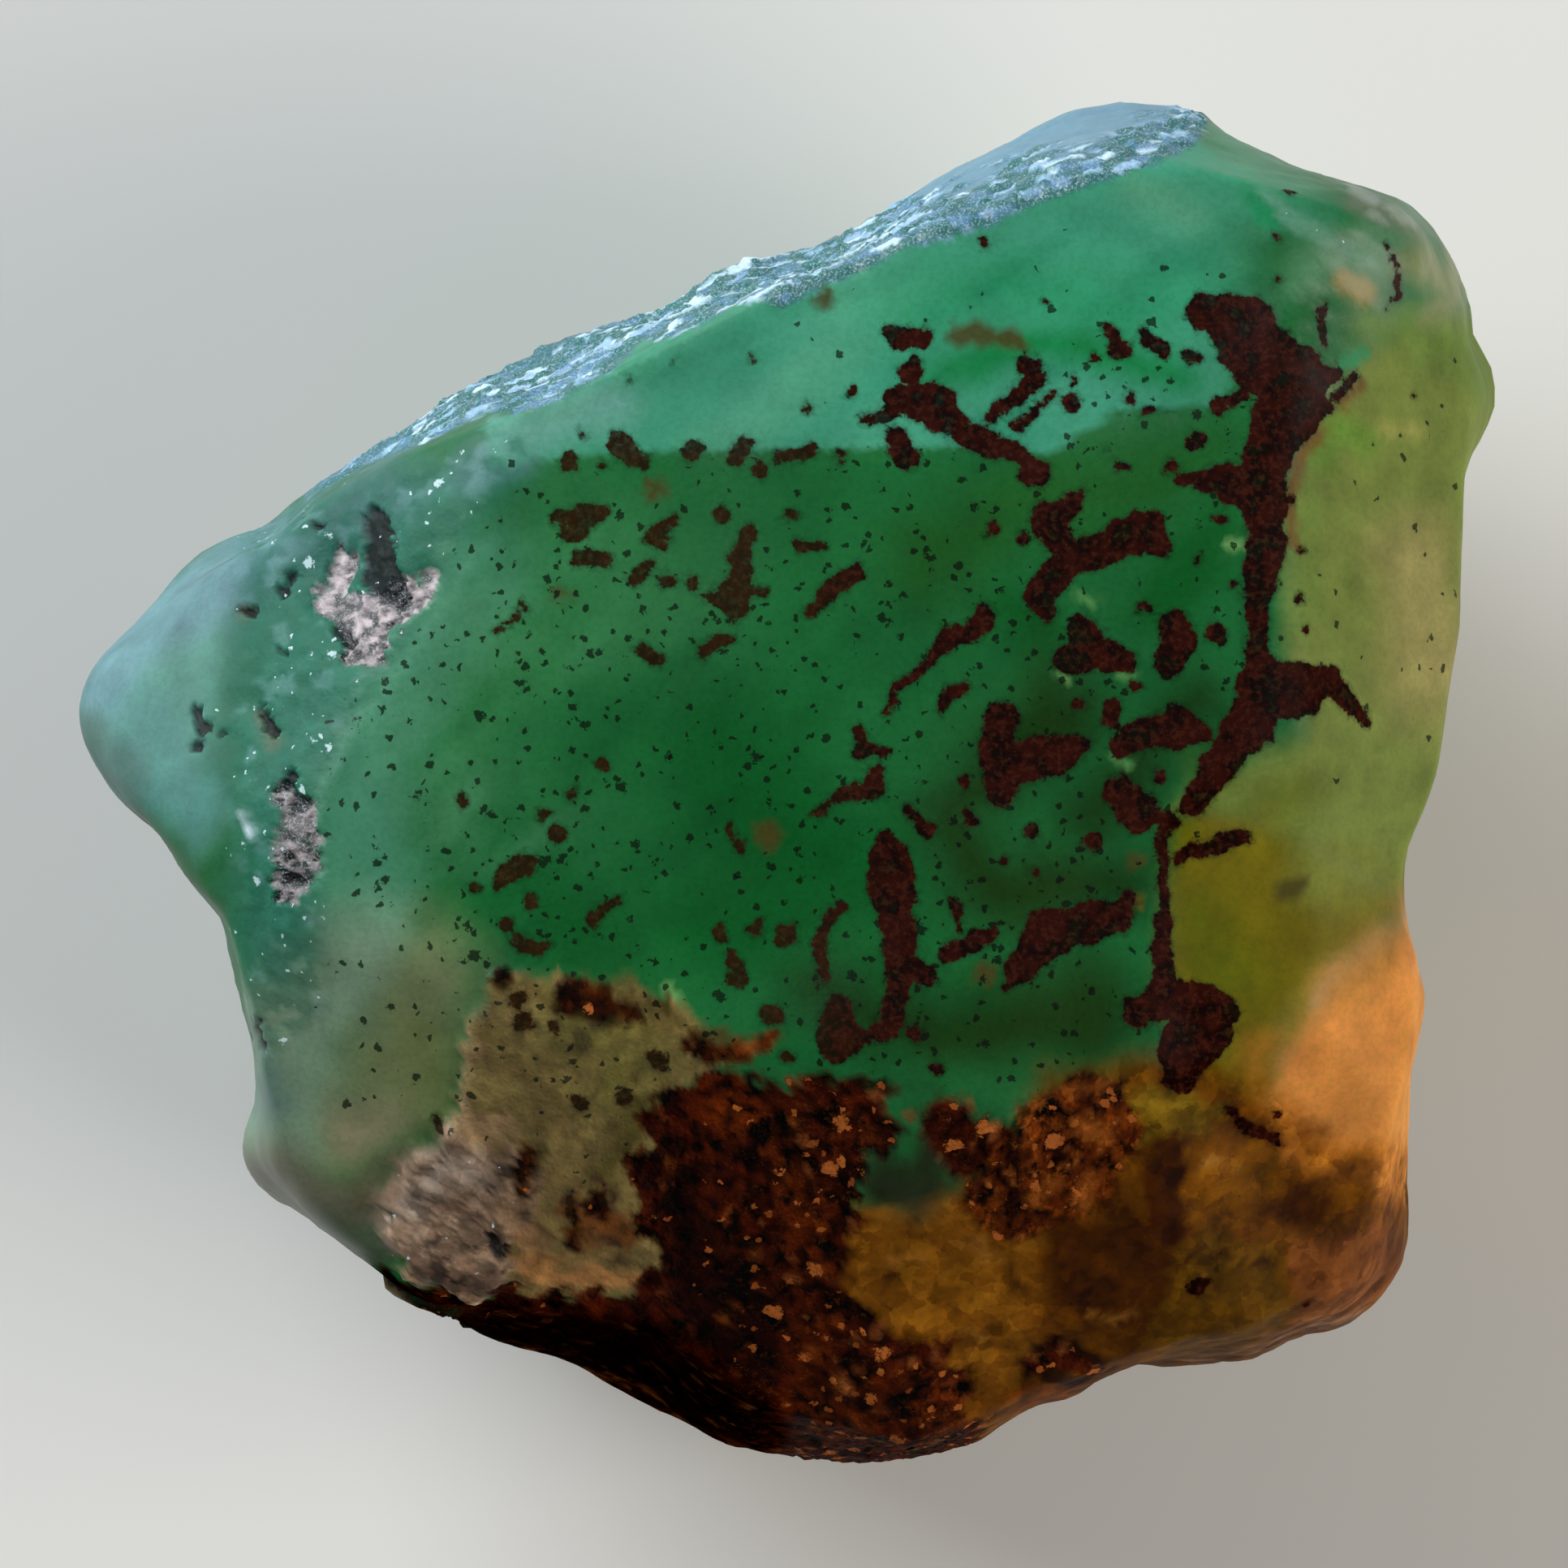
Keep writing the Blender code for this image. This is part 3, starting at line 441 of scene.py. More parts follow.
LEDGE_TINTS = (
    ((116, 98, 58), 0.1, 0.94, ()),
    ((92, 92, 38), 0.8, 0.6, ((700, 1270, 30), (790, 1300, 40), (740, 1350, 24))),
    ((74, 68, 22), 0.5, 0.85, ((790, 1370, 24), (750, 1440, 20))),
    ((166, 136, 100), 0.2, 0.85, ((584, 1270, 6), (564, 1335, 8), (572, 1385, 14),
     (620, 1390, 14))),
    ((88, 50, 18), 0.2, 0.9, ((700, 1480, 16), (740, 1500, 20), (770, 1530, 14))),
    ((140, 104, 74), 0.3, 0.85, ((640, 1490, 16), (660, 1530, 18))),
    ((168, 118, 70), 0.2, 0.9, ((640, 1560, 14), (700, 1568, 16), (780, 1574, 12))),
    ((108, 62, 14), 0.3, 0.85, ((720, 1515, 20), (770, 1520, 20))),
    ((176, 126, 76), 0.06, 0.85, (((592, 1198, 5), (602, 1184, 6), (622, 1184, 6), (634, 1198, 5)),
     ((690, 1214, 4), (735, 1222, 6), (765, 1232, 5)), ((858, 1280, 6), (900, 1283, 7),
     (930, 1276, 5)))),
    ((60, 34, 14), 0.08, 0.85, (((690, 1470, 5), (716, 1490, 6)), ((742, 1450, 4), (760, 1480, 6)),
     ((730, 1520, 5), (760, 1545, 5)), ((668, 1500, 4), (680, 1516, 4)))),
)
MATRIX_TINTS = (
    ((78, 29, 9), 0.2, 1.0, ()),
    ((36, 12, 6), 0.6, 0.9, (((810, 1400, 16), (830, 1450, 24)), ((700, 1630, 16), (800, 1640, 26)),
     ((840, 1470, 30), (860, 1560, 50), (900, 1640, 60), (930, 1700, 30)))),
    # painted shade in the undercut
    ((18, 8, 5), 0.5, 0.98, SHADED_UNDERCUT),
    ((108, 46, 10), 0.6, 0.85, (((900, 1370, 26), (960, 1400, 20), (985, 1480, 20),
     (1010, 1560, 24)), ((1000, 1640, 20), (1010, 1740, 20), (1150, 1730, 30)))),
    # orange grains, and thin strokes along the bottom edge that are painted warm rim light
    ((134, 72, 30), 0.08, 0.85, (((975, 1390, 10), (985, 1410, 8)), ((900, 1497, 9),),
     ((930, 1548, 7),), ((895, 1625, 9), (900, 1610, 7)), ((820, 1430, 5), (826, 1436, 5)),
     ((1040, 1700, 12), (1060, 1690, 8)), ((640, 1664, 3), (740, 1692, 3), (800, 1712, 3),
     (850, 1762, 3)), ((1120, 1786, 5), (1190, 1752, 5), (1250, 1724, 4)))),
)
RUST_TINTS = (
    ((28, 10, 5), 0.12, 0.9, (((1245, 1400, 10), (1250, 1430, 12), (1245, 1490, 12)),
     ((1380, 1350, 10), (1385, 1330, 8)), ((1300, 1400, 7), (1310, 1430, 8)))),
    ((170, 96, 38), 0.12, 0.75, (((1330, 1385, 12), (1360, 1400, 14)), ((1290, 1345, 6),
     (1368, 1335, 6)), ((1270, 1480, 10), (1300, 1460, 12)), ((1345, 1450, 9), (1330, 1480, 8)))),
)


def view_points(points):
    """Where points of the stone, in mm, appear in the view, as mm at the girdle's level."""
    nearer = CAMERA_RISE / (CAMERA_RISE + GIRDLE_Z - points[:, 2])
    return (points[:, :2] - (CAMERA_X, CAMERA_Y)) * nearer[:, None]


def view_place(across, down):
    """A pixel of the view, as mm at the girdle's level."""
    return np.array(((across - FRAME_PX / 2) * MM_PER_PX, (FRAME_PX / 2 - down) * MM_PER_PX))


def on_stone(tree, across, down):
    """The point of the stone seen at a pixel of the view, in mm."""
    eye = Vector((CAMERA_X, CAMERA_Y, GIRDLE_Z + CAMERA_RISE))
    x, y = view_place(across, down)
    hit = tree.ray_cast(eye, Vector((x, y, -CAMERA_RISE)).normalized())[0]
    return hit if hit else Vector((CAMERA_X + x, CAMERA_Y + y, GIRDLE_Z))


def capsules(strokes, spot_of):
    """Each stroke's stretches: its two ends, placed by spot_of, and its two half-widths in mm."""
    made = []
    for stroke in strokes:
        ends = [np.array(spot_of(across, down)) for across, down, _ in stroke]
        widths = [width * MM_PER_PX for _, _, width in stroke]
        if len(stroke) == 1:
            ends, widths = ends * 2, widths * 2
        made += list(zip(ends, ends[1:], widths, widths[1:]))
    return made


def capsule_distance(points, stretches, reach=1.0):
    """Distance in mm of each point from the nearest stretch's edge, negative inside."""
    nearest = np.full(len(points), reach)
    order = np.argsort(points[:, 0], kind="stable")
    sorted_x = points[order, 0]
    for a, b, wide_a, wide_b in stretches:
        margin = max(wide_a, wide_b) + reach
        low, high = np.minimum(a, b) - margin, np.maximum(a, b) + margin
        some = order[np.searchsorted(sorted_x, low[0]):np.searchsorted(sorted_x, high[0])]
        near = points[some]
        kept = ((near[:, 1:] > low[1:]) & (near[:, 1:] < high[1:])).all(axis=1)
        some, near = some[kept], near[kept]
        along = b - a
        share = np.clip((near - a) @ along / max(along @ along, 1e-9), 0, 1)
        gap = np.linalg.norm(near - a - share[:, None] * along, axis=1)
        gap -= wide_a + share * (wide_b - wide_a)
        nearest[some] = np.minimum(nearest[some], gap)
    return nearest


def area_distance(places, corners):
    """Distance in mm of each place in the view from an area's outline, negative inside."""
    outline = np.array([view_place(*corner) for corner in corners])
    nearest = np.full(len(places), 1e9)
    inside = np.zeros(len(places), bool)
    for a, b in zip(outline, np.roll(outline, -1, axis=0)):
        along = b - a
        share = np.clip((places - a) @ along / (along @ along), 0, 1)
        nearest = np.minimum(nearest, np.hypot(*(places - a - share[:, None] * along).T))
        spans = (a[1] > places[:, 1]) != (b[1] > places[:, 1])
        rise = b[1] - a[1] if b[1] != a[1] else 1e-9
        inside ^= spans & (places[:, 0] < a[0] + (places[:, 1] - a[1]) * along[0] / rise)
    return np.where(inside, -nearest, nearest)


def shape_distance(places, shape):
    """The same for a shape: an area's corners, one stroke, or a set of strokes."""
    if len(shape[0]) == 2 and np.ndim(shape[0]) == 1:
        return area_distance(places, shape)
    strokes = shape if np.ndim(shape[0]) > 1 else (shape,)
    return capsule_distance(places, capsules(strokes, view_place), 3.0)


def fade(distance, inner, outer):
    """1 where the distance is under inner, 0 over outer, and smooth between."""
    share = np.clip((outer - distance) / (outer - inner), 0, 1)
    return share * share * (3 - 2 * share)


def most(*values):
    return np.maximum.reduce(values)


# ---- colours


def paint(red, green, blue):
    """A display colour, 0 to 255 a channel, as the linear colour of a shader."""
    return tuple((channel / 255) ** 2.2 for channel in (red, green, blue)) + (1.0,)


def flat(tint):
    return np.array(paint(*tint)[:3])


def laid(colour, over, cover):
    """The colour with another laid over it, by a cover from 0 to 1."""
    return colour + (over - colour) * np.reshape(cover, (-1, 1))


def toned(colour, *layers):
    """The colour with layers laid over it in their order: each a tint and its cover."""
    for tint, cover in layers:
        colour = laid(colour, flat(tint), cover)
    return colour


def painted(colour, places, tints, limit=1.0, sharp=None):
    """The colour with a table of tints laid over it, within a limit from 0 to 1. The tints that
    have a sharp edge are seen at the sharp places."""
    for tint, soft, strength, shape in tints:
        cover = limit * strength
        if shape:
            where = places if sharp is None or soft > SHARP_EDGE else sharp
            cover = cover * fade(shape_distance(where, shape), -soft, soft)
        colour = laid(colour, flat(tint), cover)
    return colour


# ---- noise


def fbm(points, size, octaves=3, seed=0.0):
    """Fractal noise with features of that size in mm, about -1 to 1."""
    moved = points / size + (seed, seed * 1.7, -seed)
    return np.array([noise.fractal(p, 1.0, 2.0, octaves) for p in moved.tolist()])


def facets(points, needed, size, seed=0.0):
    """Broken flat grains of that size: each one's chance tone, 0 to 1, and its tilted rise."""
    moved = points / size + (seed, seed * 2.3, -seed)
    tone, rise = np.full(len(points), 0.5), np.zeros(len(points))
    for k in np.flatnonzero(needed > 0.01).tolist():
        place = Vector(moved[k])
        centre = noise.voronoi(place)[1][0]
        tone[k] = noise.cell(centre * 37.1)
        rise[k] = (place - centre).dot(noise.cell_vector(centre * 11.3) - Vector((0.5, 0.5, 0.5)))
    return tone, rise


def warp(points, size, amount, seed=0.0):
    """Moves points to and fro by up to about that many mm, to make drawn edges uneven."""
    moved = points / size + (seed, -seed, seed)
    return points + amount * np.array([noise.noise_vector(p)[:] for p in moved.tolist()])


# ---- the fine mesh


def cad_mesh():
    """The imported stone's points in mm and its triangles, with points in one place merged."""
    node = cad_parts["emerald_crystal"]
    bm = bmesh.new()
    bm.from_mesh(node.data)
    bmesh.ops.remove_doubles(bm, verts=bm.verts, dist=1e-6)
    bmesh.ops.triangulate(bm, faces=bm.faces)
    bm.verts.index_update()
    points = np.array([node.matrix_world @ vert.co for vert in bm.verts]) / MM
    faces = np.array([[vert.index for vert in face.verts] for face in bm.faces])
    bm.free()
    return points, faces


def normals_of(points, faces):
    a, b, c = (points[faces[:, k]] for k in range(3))
    across = np.cross(b - a, c - a)
    total = np.zeros_like(points)
    for k in range(3):
        for axis in range(3):
            total[:, axis] += np.bincount(faces[:, k], across[:, axis], len(points))
    return total / np.maximum(np.linalg.norm(total, axis=1, keepdims=True), 1e-12)


def split_once(points, normals, longest, faces, wanted):
    """Halves every edge that is longer than either end allows, with its triangles."""
    edges = np.stack([faces[:, [0, 1]], faces[:, [1, 2]], faces[:, [2, 0]]], axis=1)
    ordered = np.sort(edges.reshape(-1, 2), axis=1)
    unique, where = np.unique(ordered[:, 0] * len(points) + ordered[:, 1], return_inverse=True)
    where = where.reshape(-1, 3)
    a, b = unique // len(points), unique % len(points)
    length = np.linalg.norm(points[a] - points[b], axis=1)
    cut = length > np.minimum(longest[a], longest[b])
    if not cut.any():
        return points, normals, longest, faces, False
    # a triangle that is cut at all is cut across its longest edge, which keeps it stout
    widest = where[np.arange(len(where)), length[where].argmax(axis=1)]
    for _ in range(SPREAD_ROUNDS):
        cut[widest[cut[where].any(axis=1)]] = True
    number = np.full(len(unique), -1)
    number[cut] = len(points) + np.arange(cut.sum())
    a, b = a[cut], b[cut]
    middle = (points[a] + points[b]) / 2
    facing = normals[a] + normals[b]
    facing /= np.maximum(np.linalg.norm(facing, axis=1, keepdims=True), 1e-12)
    # the middle is lifted towards the curve that the two ends' normals ask for
    limit = 0.1 * length[cut]
    lifts = [np.einsum("ij,ij->i", points[end] - middle, normals[end]) * 0.3 for end in (a, b)]
    for end, rise in zip((a, b), lifts):
        middle = middle + np.clip(rise, -limit, limit)[:, None] * normals[end]
    points = np.vstack([points, middle])
    normals = np.vstack([normals, facing])
    longest = np.concatenate([longest, wanted(middle, facing)])
    new = number[where]
    made = []
    for mask in range(8):
        rows = ((new >= 0) @ np.array([1, 2, 4])) == mask
        v, m = faces[rows].T, new[rows].T
        made += [np.stack(t, axis=1) for t in split_pattern(mask, v, m)]
    return points, normals, longest, np.vstack(made), True


def split_pattern(mask, v, m):
    """The triangles that a triangle becomes, for each set of its halved edges."""
    if mask == 0:
        return [(v[0], v[1], v[2])]
    if mask == 7:
        return [
            (v[0], m[0], m[2]), (v[1], m[1], m[0]), (v[2], m[2], m[1]), (m[0], m[1], m[2]),
        ]
    turn = {1: 0, 2: 1, 4: 2, 3: 0, 6: 1, 5: 2}[mask]
    v = [v[(turn + k) % 3] for k in range(3)]
    m = [m[(turn + k) % 3] for k in range(3)]
    if mask in (1, 2, 4):
        return [(v[0], m[0], v[2]), (m[0], v[1], v[2])]
    return [(v[0], m[0], v[2]), (m[0], m[1], v[2]), (m[0], v[1], m[1])]


def relaxed(points, faces, share):
    """The points moved towards the mean of their neighbours by that share, a few times."""
    ends = np.vstack([faces[:, [0, 1]], faces[:, [1, 2]], faces[:, [2, 0]]])
    ends = np.vstack([ends, ends[:, ::-1]])
    count = np.bincount(ends[:, 0], minlength=len(points))[:, None]
    for _ in range(RELAX_ROUNDS):
        total = np.zeros_like(points)
        for axis in range(3):
            total[:, axis] = np.bincount(ends[:, 0], points[ends[:, 1], axis], len(points))
        points = points + (total / count - points) * share[:, None]
    return points


class Marks:
    """The drawn inclusions, and how fine the mesh has to be near them and elsewhere."""

    def __init__(self, tree):
        self.patches = capsules(VEIN + PATCHES, lambda *pixel: on_stone(tree, *pixel))

    def patch(self, points):
        uneven = warp(warp(points, 0.42, 0.15), 0.17, 0.09, 4.0)
        return capsule_distance(uneven, self.patches)

    def longest_edge(self, points, normals):
        """The longest edge wanted at each point, in mm."""
        up = np.clip((normals[:, 2] + 0.05) / 0.35, 0, 1)
        longest = BACK_EDGE - FRONT_FINER * up
        places = view_points(points)
        for area, fine in FINE_AREAS:
            off = np.maximum(area_distance(places, area), 0)
            longest = np.minimum(longest, np.where(up > 0.1, fine + 0.8 * off, 1.0))
        mica = capsule_distance(places, capsules(MICA + BLACK_MICA, view_place))
        longest = np.minimum(longest, MICA_EDGE + 0.9 * np.maximum(mica, 0))
        off = np.abs(self.patch(points))
        longest = np.minimum(longest, PATCH_EDGE + 1.3 * np.maximum(off - 0.05, 0))
        return longest * COARSER


# ---- what lies where


def zones_of(points, normals):
    """The noise at each point, its place in the view as drawn edges see it, and how far it is
    in each area of the view, 0 to 1."""
    noises = {name: fbm(points, *kind) for name, kind in NOISES.items()}
    z = SimpleNamespace(points=points, places=view_points(points), **noises)
    drift = np.stack([z.drift_x, z.drift_y], axis=1)
    z.steep = fade(normals[:, 2], -0.1, 0.2)
    z.top = np.clip((normals[:, 2] + 0.35) / 0.30, 0, 1)
    z.hidden = 1 - z.top + 0.35 * z.steep * z.top
    z.loose = z.places + (0.45 + 1.9 * z.steep[:, None]) * drift
    z.tight = z.places + 0.10 * np.stack([z.small, z.tiny], axis=1)
    torn = np.stack([z.small, z.small_y], axis=1)
    z.ragged = z.places + (0.35 + z.steep[:, None]) * torn + 0.12 * z.tiny[:, None]

    def area(corners, soft, where=z.tight):
        return fade(area_distance(where, corners), -soft, soft)

    def drawn(shape, inner, outer, uneven=0.0, where=z.tight):
        return fade(shape_distance(where, shape) + uneven, inner, outer)

    x = z.places[:, 0]
    z.strip, z.left, z.knob = area(STRIP, 0.08), area(LEFT_SLOPE, 0.5), area(KNOB, 0.4)
    z.slab, z.chunk = area(SLAB, 0.14, z.ragged), area(CHUNK, 0.16, z.ragged)
    z.upper = area(UPPER, 0.07, z.places + 0.02 * drift) * fade(x, 9.6, 12.6)
    z.face = np.maximum(area(FACE, 0.5), z.upper)
    z.lower_right = area(LOWER_RIGHT, 0.5)
    z.right = most(area(RIGHT_BAND, 0.5), area(ORANGE, 0.5), area(OLIVE, 0.5))
    z.deep = drawn(SHADED_UNDERCUT, 0.2, 0.9, where=z.places)
    reach = area_distance(z.tight, MATRIX) + 0.50 * z.small + 0.14 * z.tiny
    reach = reach + 1.2 * z.steep * z.big
    z.matrix = np.maximum(fade(reach, -0.12, 0.10), drawn(MATRIX_SPOTS, -0.08, 0.08, 0.1 * z.tiny))
    grains = drawn(RUST_SPOTS, -0.1, 0.08, where=z.ragged)
    z.rust = np.maximum(area(RUSTY, 0.15, z.ragged), grains)
    z.gritty = np.maximum(z.matrix, z.rust)
    z.warm = 0.25 + 0.75 * fade(-x, -1.0, 2.5)
    z.ochre = drawn(OCHRE, -0.07, 0.07, 0.12 * z.tiny) * z.top
    z.mica = drawn(MICA, -0.04, 0.08, 0.22 * z.tiny + 0.2 * z.small) * z.top
    z.black = drawn(BLACK_MICA, -0.05, 0.06, 0.16 * z.tiny) * z.top
    z.dull = fade(z.places[:, 1], 0.0, 1.0)
    z.sheen = area(SHEEN, 0.25, z.ragged)
    low = fade(points[:, 2] + 2.0 * z.big, 9.0, 12.5)
    z.glinting = z.strip * (1 - z.sheen) * (1 - 0.5 * low)
    z.broken = z.left * (1 - drawn(MICA, -0.1, 0.1, where=z.places))
    z.sparkling = drawn(SPARKLING, -0.1, 0.1)
    specky = sum(density * area(corners, soft) for corners, density, soft in SPECK_AREAS)
    z.specky = np.clip(specky * (1 + 0.8 * z.big), 0, 1) * (1 - z.gritty) * (1 - z.strip) * z.top
    add_grains(z)
    return z


def add_grains(z):
    """Adds the flat grains of each broken area: their tones and their rises."""
    lumps = warp(z.points, 0.4, 0.12)
    z.shard, z.shard_rise = facets(z.points @ STRIP_TURN, z.strip, *SHARDS)
    z.shard = z.shard + 0.12 * z.big
    z.chip, z.chip_rise = facets(z.points, z.left, *CHIPS)
    z.flake, z.flake_rise = facets(z.points, z.mica + z.black, *FLAKES)
    z.clod, z.clod_rise = facets(lumps, most(z.gritty, z.slab, z.chunk), *CLODS)
    z.grain, z.grain_rise = facets(z.points, z.rust, *GRAINS)
    z.block, z.block_rise = facets(lumps, z.chunk, *BLOCKS)


# ---- colour and relief


def surface_colour(z):
    """The stone's colour at each point, without the fine grain that its material adds."""
    colour = painted(flat(GROUND) * np.ones((len(z.points), 1)), z.loose, TINTS, 1.0, z.tight)
    colour = painted(colour, z.loose, UPPER_TINTS, z.upper)
    wisps = fbm(z.points @ WISP_TURN, *WISPS)
    x = z.places[:, 0]
    milky = 0.25 * np.maximum(z.upper * fade(x, 0.0, 5.0), z.face * fade(x, -8.0, -3.0))
    colour = toned(colour, ((88, 142, 112), milky * fade(-wisps, -0.5, 0.05)))
    colour = colour * (1 - np.outer(0.35 * z.face * fade(wisps, -0.5, 0.0), (1.0, 0.35, 0.5)))
    colour = painted(colour, z.ragged, LOWER_TINTS, z.lower_right)
    colour = painted(colour, z.ragged, LEDGE_TINTS, z.slab)
    colour = painted(colour, z.tight, CHUNK_TINTS, z.chunk)
    uneven = 0.12 + 0.4 * np.maximum(z.lower_right, 0.6 * z.slab) + 0.1 * z.knob
    uneven = uneven + 0.1 * z.right + 0.2 * z.steep
    mottled = 1 + 0.14 * z.big + uneven * z.small + (uneven - 0.12) * z.tiny
    colour = toned(
        colour * mottled[:, None],
        # the glittering strip, and its smooth far end. The strip's pale blue is partly painted
        # sheen, its palest shards are painted glints and its darkest shards painted shade between
        # the shards; the far end's blue is a painted sheen
        ((80, 122, 156), 0.95 * z.strip),
        ((148, 182, 214), 0.9 * z.glinting * fade(-z.shard, -0.64, -0.54)),
        ((192, 216, 236), z.glinting * fade(-z.shard, -0.86, -0.80)),
        ((36, 96, 94), 0.9 * z.glinting * fade(z.shard, 0.10, 0.22)),
        ((104, 142, 160), 0.7 * z.strip * z.sheen * (1 + 0.4 * z.small)),
        # the chipped left slope: darker chips, and the palest chips as painted glints
        ((30, 92, 74), 0.5 * z.broken * fade(z.chip, 0.20, 0.40)),
        ((96, 136, 134), 0.4 * z.broken * fade(-z.chip, -0.88, -0.76)),
        ((66, 58, 26), 0.9 * z.ochre),
    )
    # painted glints: the mica's flakes brighter or dimmer one by one, and a few black flakes very
    # bright
    shine = (1 - z.dull) * (0.15 + 1.45 * z.flake ** 2) + z.dull * (0.3 + 0.6 * z.flake)
    colour = laid(colour, flat(SILVER) * shine[:, None], 0.92 * z.mica)
    shine = 0.4 + 3.0 * z.flake ** 6
    colour = laid(colour, flat(BLACK) * shine[:, None], 0.95 * z.black)
    colour = gritty_colour(colour, z)

    # the sides and back that face away: cloudy green with brown stains
    return toned(
        colour,
        ((72, 118, 86), 0.6 * z.hidden * fade(-z.cloud, -0.35, 0.1)),
        ((92, 66, 28), 0.8 * z.hidden * fade(z.cloud + 0.4 * z.big, -0.55, -0.1)),
    )


def gritty_colour(colour, z):
    """The colour with the brown matrix, the rusty grains and the sugary ledge laid over it."""
    inside = painted(colour, z.tight, MATRIX_TINTS) * (0.60 + 0.8 * z.clod + 0.6 * z.small)[:, None]
    inside = toned(
        inside,
        ((104, 48, 18), 0.6 * z.warm * fade(-z.clod, -0.86, -0.76)),
        ((150, 90, 50), 0.8 * z.warm * fade(-z.clod, -0.96, -0.91)),
    )
    colour = laid(colour, inside, z.matrix)
    grains = flat(RUST) * (0.55 + 0.5 * z.clod + 0.5 * z.grain)[:, None]
    grains = painted(grains, z.tight, RUST_TINTS)
    grains = toned(grains, ((168, 98, 44), 0.6 * fade(-z.grain, -0.92, -0.80)))
    colour = laid(colour, grains * (1 - 0.75 * z.slab)[:, None], z.rust)
    sugar = z.slab * (0.24 * z.clod - 0.12) + z.chunk * (0.26 * z.block + 0.16 * z.clod - 0.16)
    return colour * (1 + sugar)[:, None]


def material_marks(z, marks):
    """What the material reads at each point: for the inclusions a distance in mm, and for the
    rest an amount."""
    stains = 1.3 * (0.42 + z.stain) + 0.12 * z.small
    stains = np.where(z.hidden > 0.02, stains + 0.6 * (1 - np.clip(z.hidden, 0, 1)), 1.0)
    dust = 0.35 * z.gritty * z.warm * (1 + z.small) * (1 - z.deep)
    # how many painted glints, as white sparks, lie on the chipped slope
    chip_glints = z.broken * (0.6 + 0.9 * z.big + 0.5 * z.small)
    roughness = (
        0.42 + 0.06 * z.strip + 0.16 * z.left + 0.3 * z.gritty + 0.2 * z.slab
        + 0.2 * z.lower_right + 0.22 * z.right + 0.2 * z.knob
    )
    gloss = (
        0.26 + 0.2 * z.strip - 0.12 * z.face - 0.12 * z.left - 0.25 * z.gritty - 0.1 * z.slab
        - 0.22 * z.lower_right - 0.18 * z.right - 0.05 * z.knob + 0.15 * z.mica
    )
    grit = (
        0.06 + 0.4 * z.glinting + 0.08 * z.left + 0.45 * z.matrix + 0.25 * z.slab
        - 0.1 * z.chunk + 0.25 * z.rust + 0.2 * z.mica
    )
    stony = 0.6 * z.lower_right + 0.7 * z.gritty + 0.25 * z.slab + 0.2 * z.chunk
    return {
        "patch": np.minimum(marks.patch(z.points) - 0.02, stains),
        "stony": np.clip(stony, 0, 0.8),
        "rust": np.clip(0.25 * z.matrix * z.warm + 0.5 * z.rust * (1 - 0.7 * z.slab), 0, 1),
        "glitter": np.clip(0.4 * z.glinting + 0.3 * z.mica, 0, 1),
        # sparks: painted glints, white, on the chipped slope, the chunk and the glittering ridge;
        # orange in the gritty matrix
        "sparks": np.clip(chip_glints + 0.2 * z.chunk + dust + 0.8 * z.sparkling, 0, 1),
        "specky": z.specky,
        "shallow": 0.6 * fade(z.places[:, 0], -0.5, 3.0),
        "cloudy": 1 - np.clip(z.matrix + z.mica + z.black, 0, 1),
        "roughness": np.clip(roughness, 0, 0.75),
        "gloss": np.clip(gloss, 0.03, 0.6) * (1 - z.deep),
        "grit": np.clip(grit, 0, 1.3),
    }


def relief(z):
    """How far each point is raised along its normal, in mm."""
    rough = 1 - most(z.face, z.right, z.knob)
    height = 0.07 * z.big * (0.25 + 0.75 * rough) + 0.04 * z.small * rough
    height += 0.28 * z.glinting * z.shard_rise + 0.10 * z.left * z.chip_rise
    height += z.slab * (0.16 * fade(z.places[:, 0], -6.0, -4.0) + 0.06 * z.clod_rise)
    height += z.chunk * (0.12 + 0.22 * z.block_rise + 0.05 * z.clod_rise)
    height += z.matrix * (1 - z.deep) * (0.07 * z.small + 0.16 * z.clod_rise - 0.04)
    height += 0.12 * z.rust * (z.clod_rise + z.grain_rise)
    height -= z.mica * (0.12 - (0.25 - 0.15 * z.dull) * z.flake_rise) + z.black * 0.16
    return height * np.clip(z.points[:, 2] / OFF_FLOOR, 0, 1)


def build_surface():
    """The dressed stone's points in mm, its triangles, its colour and its material's marks."""
    points, faces = cad_mesh()
    marks = Marks(BVHTree.FromPolygons(points.tolist(), faces.tolist()))
    normals = normals_of(points, faces)
    longest = marks.longest_edge(points, normals)
    for _ in range(MOST_ROUNDS):
        points, normals, longest, faces, more = split_once(
            points, normals, longest, faces, marks.longest_edge
        )
        if not more:
            break
    share = 0.6 * fade(area_distance(view_points(points), CORNER), -0.3, 0.6)
    points = relaxed(points, faces, share)
    normals = normals_of(points, faces)
    z = zones_of(points, normals)
    points = points + normals * relief(z)[:, None]
    points[:, 2] = np.maximum(points[:, 2], 0.0)
    return points, faces, surface_colour(z), material_marks(z, marks)


def add_object(name, data):
    made = bpy.data.objects.new(name, data)
    bpy.context.scene.collection.objects.link(made)
    return made


